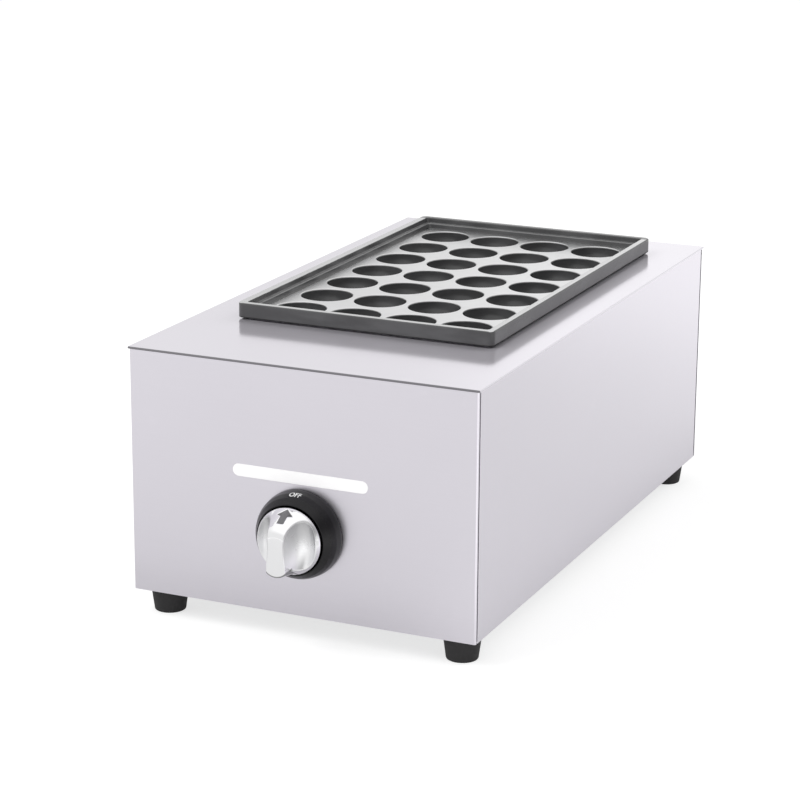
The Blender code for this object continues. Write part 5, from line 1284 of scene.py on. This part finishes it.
class BezelOperator(bpy.types.Operator):
    """Makes the glossy ring round the knob and the word at its top."""
    bl_idname = "grill.bezel"
    bl_label = "Bezel"

    def execute(self, context):
        controls = context.scene.grill.controls
        back, front = CLEARANCE, CLEARANCE + BEZEL_DEPTH
        bore = KNOB_RADIUS + 2 * CLEARANCE
        wall = [
            (back + share * BEZEL_DEPTH, size * BEZEL_RADIUS, 0.006) for share, size in BEZEL_WALL[:-1]
        ]
        profile = eased([
            (back, KNOB_BORE, 0), (back, BEZEL_RADIUS, 0.0004), *wall,
            (front, BEZEL_WALL[-1][1] * BEZEL_RADIUS, 0.0004), (front, bore, 0.0004),
            (BEZEL_FLOOR, bore, 0.0006), (BEZEL_FLOOR, KNOB_BORE, 0),
        ], closed=True)
        ring = solid("bezel_ring", turned, profile, KNOB_PLACE, OUTWARD, 160, closed=True)
        dress(ring, "root", "black_plastic", "knob_bezel")
        self.word(controls, [p for p in profile if p.y > KNOB_RADIUS + 0.001])
        return {"FINISHED"}

    def word(self, controls, wall):
        """The word's letters, bent round the top of the ring."""
        curve = bpy.data.curves.new("word", "FONT")
        curve.body = controls.word
        curve.align_x, curve.align_y = "CENTER", "CENTER"
        curve.size = controls.word_height / CAPITAL_SHARE
        curve.resolution_u, curve.offset = 8, WORD_WEIGHT
        text = placed("word", curve)
        bpy.context.view_layer.update()
        graph = bpy.context.evaluated_depsgraph_get()
        flat = bpy.data.meshes.new_from_object(text.evaluated_get(graph), depsgraph=graph)
        bm = bmesh.new()
        bm.from_mesh(flat)
        bpy.data.objects.remove(text)
        bmesh.ops.remove_doubles(bm, verts=bm.verts, dist=WELD)
        bmesh.ops.triangulate(bm, faces=bm.faces)
        bmesh.ops.subdivide_edges(bm, edges=bm.edges, cuts=2)
        for vert in bm.verts:
            reach = WORD_REACH - vert.co.y
            radius = self.radius_at(wall, reach) + WORD_LIFT
            turn = WORD_NARROW * vert.co.x / radius
            vert.co = KNOB_PLACE + OUTWARD * reach + Vector((radius * sin(turn), 0, radius * cos(turn)))
        bm.normal_update()
        for face in bm.faces:
            if face.normal.z < 0:
                face.normal_flip()
        bm.to_mesh(flat)
        bm.free()
        dress(placed("bezel_word", flat), "root", "black_plastic", finish="white_print")

    def radius_at(self, wall, reach):
        """The ring's outer radius at a distance from the panel."""
        for before, after in zip(wall, wall[1:]):
            if before.x <= reach <= after.x and after.x > before.x:
                return before.y + (after.y - before.y) * (reach - before.x) / (after.x - before.x)
        return wall[-1].y


class KnobOperator(bpy.types.Operator):
    """Makes the chromed knob: a crown on a disc, scooped out on each side so that a bar is left."""
    bl_idname = "grill.knob"
    bl_label = "Knob"

    def execute(self, context):
        controls = context.scene.grill.controls
        knob = self.crown("chrome_knob", 0)
        combine(knob, self.grip(), "UNION")
        for side in (1, -1):
            place = KNOB_PLACE + Vector((side * SCOOP_PLACE[0], -SCOOP_PLACE[1], SCOOP_PLACE[2]))
            combine(knob, solid("scoop", self.scoop, place))
        pocket = self.arrow("pocket")
        combine(pocket, self.crown("core", ARROW_DEPTH))
        combine(knob, pocket)
        remesh = knob.modifiers.new("even", "REMESH")
        remesh.mode, remesh.voxel_size = "VOXEL", controls.grain
        remesh.use_smooth_shade = True
        polish = knob.modifiers.new("polish", "SMOOTH")
        polish.factor, polish.iterations = 0.5, 6
        settle(knob)
        knob.data.shade_smooth()
        dress(knob, "knob", "chromed_metal", "knob")
        # Painted reflection: the grey fill stands in for the dark reflections in the arrow's facets
        fill = self.arrow("knob_arrow")
        combine(fill, self.crown("cover", ARROW_FILL), "INTERSECT")
        combine(fill, self.crown("core", ARROW_DEPTH + CLEARANCE))
        dress(fill, "knob", "chromed_metal", finish="grey_enamel")
        return {"FINISHED"}

    def crown(self, name, back):
        """The turned body of the knob, set back towards the panel."""
        rim = KNOB_RADIUS - KNOB_SLACK
        profile = eased([
            (KNOB_BACK + KNOB_BORE_DEPTH, 0, 0), (KNOB_BACK + KNOB_BORE_DEPTH, KNOB_BORE, 0),
            (KNOB_BACK, KNOB_BORE, 0), (KNOB_BACK, rim, 0.0006), (KNOB_FACE, rim, 0.0020),
            (*KNOB_SHOULDER, 0.05), (*KNOB_CROWN, 0.05), (KNOB_CROWN[0], 0, 0),
        ], steps=10)
        return solid(name, turned, profile, KNOB_PLACE - OUTWARD * back, OUTWARD)

    def scoop(self, bm, place):
        """The egg that hollows out one side of the knob."""
        turn = Matrix.Translation(place) @ Matrix.Diagonal((*SCOOP_RADII, 1))
        bmesh.ops.create_uvsphere(bm, u_segments=64, v_segments=40, radius=1, matrix=turn)

    def grip(self):
        """The lower half of the bar. Its end is round and slopes back to the rim."""
        half = GRIP_WIDTH / 2
        root, front = GRIP_ROOT, KNOB_CROWN[0]
        steps = [half * (step / 8 - 1) for step in range(17)]
        outline = [(x, GRIP_END - (GRIP_END ** 2 - x ** 2) ** 0.5) for x in steps]
        outline += [(half, 1), (-half, 1)]

        def point(x, lift, reach):
            bottom = GRIP_BOTTOM + (GRIP_FRONT_BOTTOM - GRIP_BOTTOM) * (reach - root) / (front - root)
            return KNOB_PLACE.x + x, KNOB_PLACE.y - reach, KNOB_PLACE.z - max(bottom - lift, 0)

        return solid("grip", prism, outline, root, front, point)

    def arrow(self, name):
        """A prism of the arrow, which lies below the rim's top and points at the ring's word."""
        outline = [(KNOB_PLACE.x + x, KNOB_PLACE.z + KNOB_RADIUS - drop) for x, drop in ARROW]
        front, back = KNOB_PLACE.y - KNOB_CROWN[0], KNOB_PLACE.y - KNOB_BACK - OVERRUN
        return solid(name, level_prism, outline, front, back)


class ReturnSpringOperator(bpy.types.Operator):
    """Makes the spring inside the valve. The real spring shortens as the knob is pushed in; this coil
    keeps its length.
    """
    bl_idname = "grill.return_spring"
    bl_label = "Return Spring"

    def execute(self, context):
        middle = (SPRING_LOW + SPRING_HIGH) / 2
        length = SPRING_HIGH.y - SPRING_LOW.y
        radius = (SPRING_HIGH.x - SPRING_LOW.x) / 2 - SPRING_WIRE
        start = Vector((middle.x, SPRING_LOW.y + SPRING_WIRE, middle.z))
        bm = bmesh.new()
        turns = full_turn(SPRING_SIDES)
        for reach in (0, length - 2 * SPRING_WIRE):
            section = [(reach + SPRING_WIRE * sin(a), radius + SPRING_WIRE * cos(a)) for a in turns]
            turned(bm, section, start, (0, 1, 0), ROUND_STEPS, closed=True)
        spring = raw("return_spring_coil", bm)
        grow(spring, thread_tree, Turns=SPRING_TURNS, Length=length - 2 * SPRING_WIRE,
             Radius=radius, Ridge=SPRING_WIRE, Sides=SPRING_SIDES, Centre=start,
             Material=finish_for("zinc_plated_steel"))
        spring.data.shade_smooth()
        dress(spring, "knob", "zinc_plated_steel", "return_spring")
        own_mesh(spring)
        return {"FINISHED"}


class GasInletOperator(bpy.types.Operator):
    """Makes the brass inlet at the back with its thread."""
    bl_idname = "grill.gas_inlet"
    bl_label = "Gas Inlet"

    def execute(self, context):
        flange, flange_radius = INLET_FLANGE
        core = INLET_RADIUS - INLET_RIDGE
        inlet = solid("gas_inlet_fitting", turned, eased([
            (-INLET_TAIL, INLET_BORE, 0.0003), (-INLET_TAIL, INLET_RADIUS, 0.0006),
            (CLEARANCE, INLET_RADIUS, 0), (CLEARANCE, flange_radius, 0.0004),
            (flange, flange_radius, 0.0010), (flange, core, 0.0006),
            (INLET_REACH, core, 0.0008), (INLET_REACH, INLET_BORE, 0.0004),
        ], closed=True), INLET_PLACE, (0, 1, 0), 64, closed=True)
        start, length = INLET_THREAD
        centre = INLET_PLACE + Vector((0, flange + start, 0))
        grow(inlet, thread_tree, Turns=INLET_TURNS, Length=length, Radius=core - RIDGE_SUNK,
             Ridge=INLET_RIDGE, Sides=4, Centre=centre, Material=finish_for("brass"))
        smooth(inlet.data)
        dress(inlet, "root", "brass", "gas_inlet")
        return {"FINISHED"}


class InnerPartsOperator(bpy.types.Operator):
    """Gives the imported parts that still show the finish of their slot."""
    bl_idname = "grill.inner_parts"
    bl_label = "Inner Parts"

    def execute(self, context):
        for name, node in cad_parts.items():
            if node.hide_render:
                continue
            slots = [slot.material.name.split(".")[0] for slot in node.material_slots if slot.material]
            if not slots:
                raise RuntimeError(name + " has no material slot")
            for place, slot in enumerate(slots):
                node.material_slots[place].material = finish_for(slot)
        return {"FINISHED"}


OPERATORS = (
    StageOperator, DeckOperator, FrontPanelOperator, BackPanelOperator, SidePanelsOperator,
    BottomPanOperator, FeetOperator, ScrewsOperator, CastPlateOperator, SightWindowOperator,
    BezelOperator, KnobOperator, ReturnSpringOperator, GasInletOperator, InnerPartsOperator,
)
SETTINGS = (PlateSettings, CasingSettings, ControlSettings, StudioSettings, GrillSettings)


class GrillPanel(bpy.types.Panel):
    """Lists the pieces and what may be changed on them."""
    bl_idname = "VIEW3D_PT_grill"
    bl_label = "Fish Ball Grill"
    bl_space_type = "VIEW_3D"
    bl_region_type = "UI"
    bl_category = "Grill"

    def draw(self, context):
        column = self.layout.column(align=True)
        for operator in OPERATORS:
            column.operator(operator.bl_idname)
        for name in GrillSettings.__annotations__:
            settings = getattr(context.scene.grill, name)
            part = self.layout.box()
            part.label(text=name.title())
            for setting in settings.__annotations__:
                part.prop(settings, setting)


CLASSES = (*SETTINGS, *OPERATORS, GrillPanel)


def register():
    for entry in CLASSES:
        bpy.utils.register_class(entry)
    bpy.types.Scene.grill = PointerProperty(type=GrillSettings)


def unregister():
    del bpy.types.Scene.grill
    for entry in reversed(CLASSES):
        bpy.utils.unregister_class(entry)


def main():
    """Makes every piece in turn."""
    register()
    for operator in OPERATORS:
        group, name = operator.bl_idname.split(".")
        getattr(getattr(bpy.ops, group), name)()


if __name__ == "__main__":
    main()
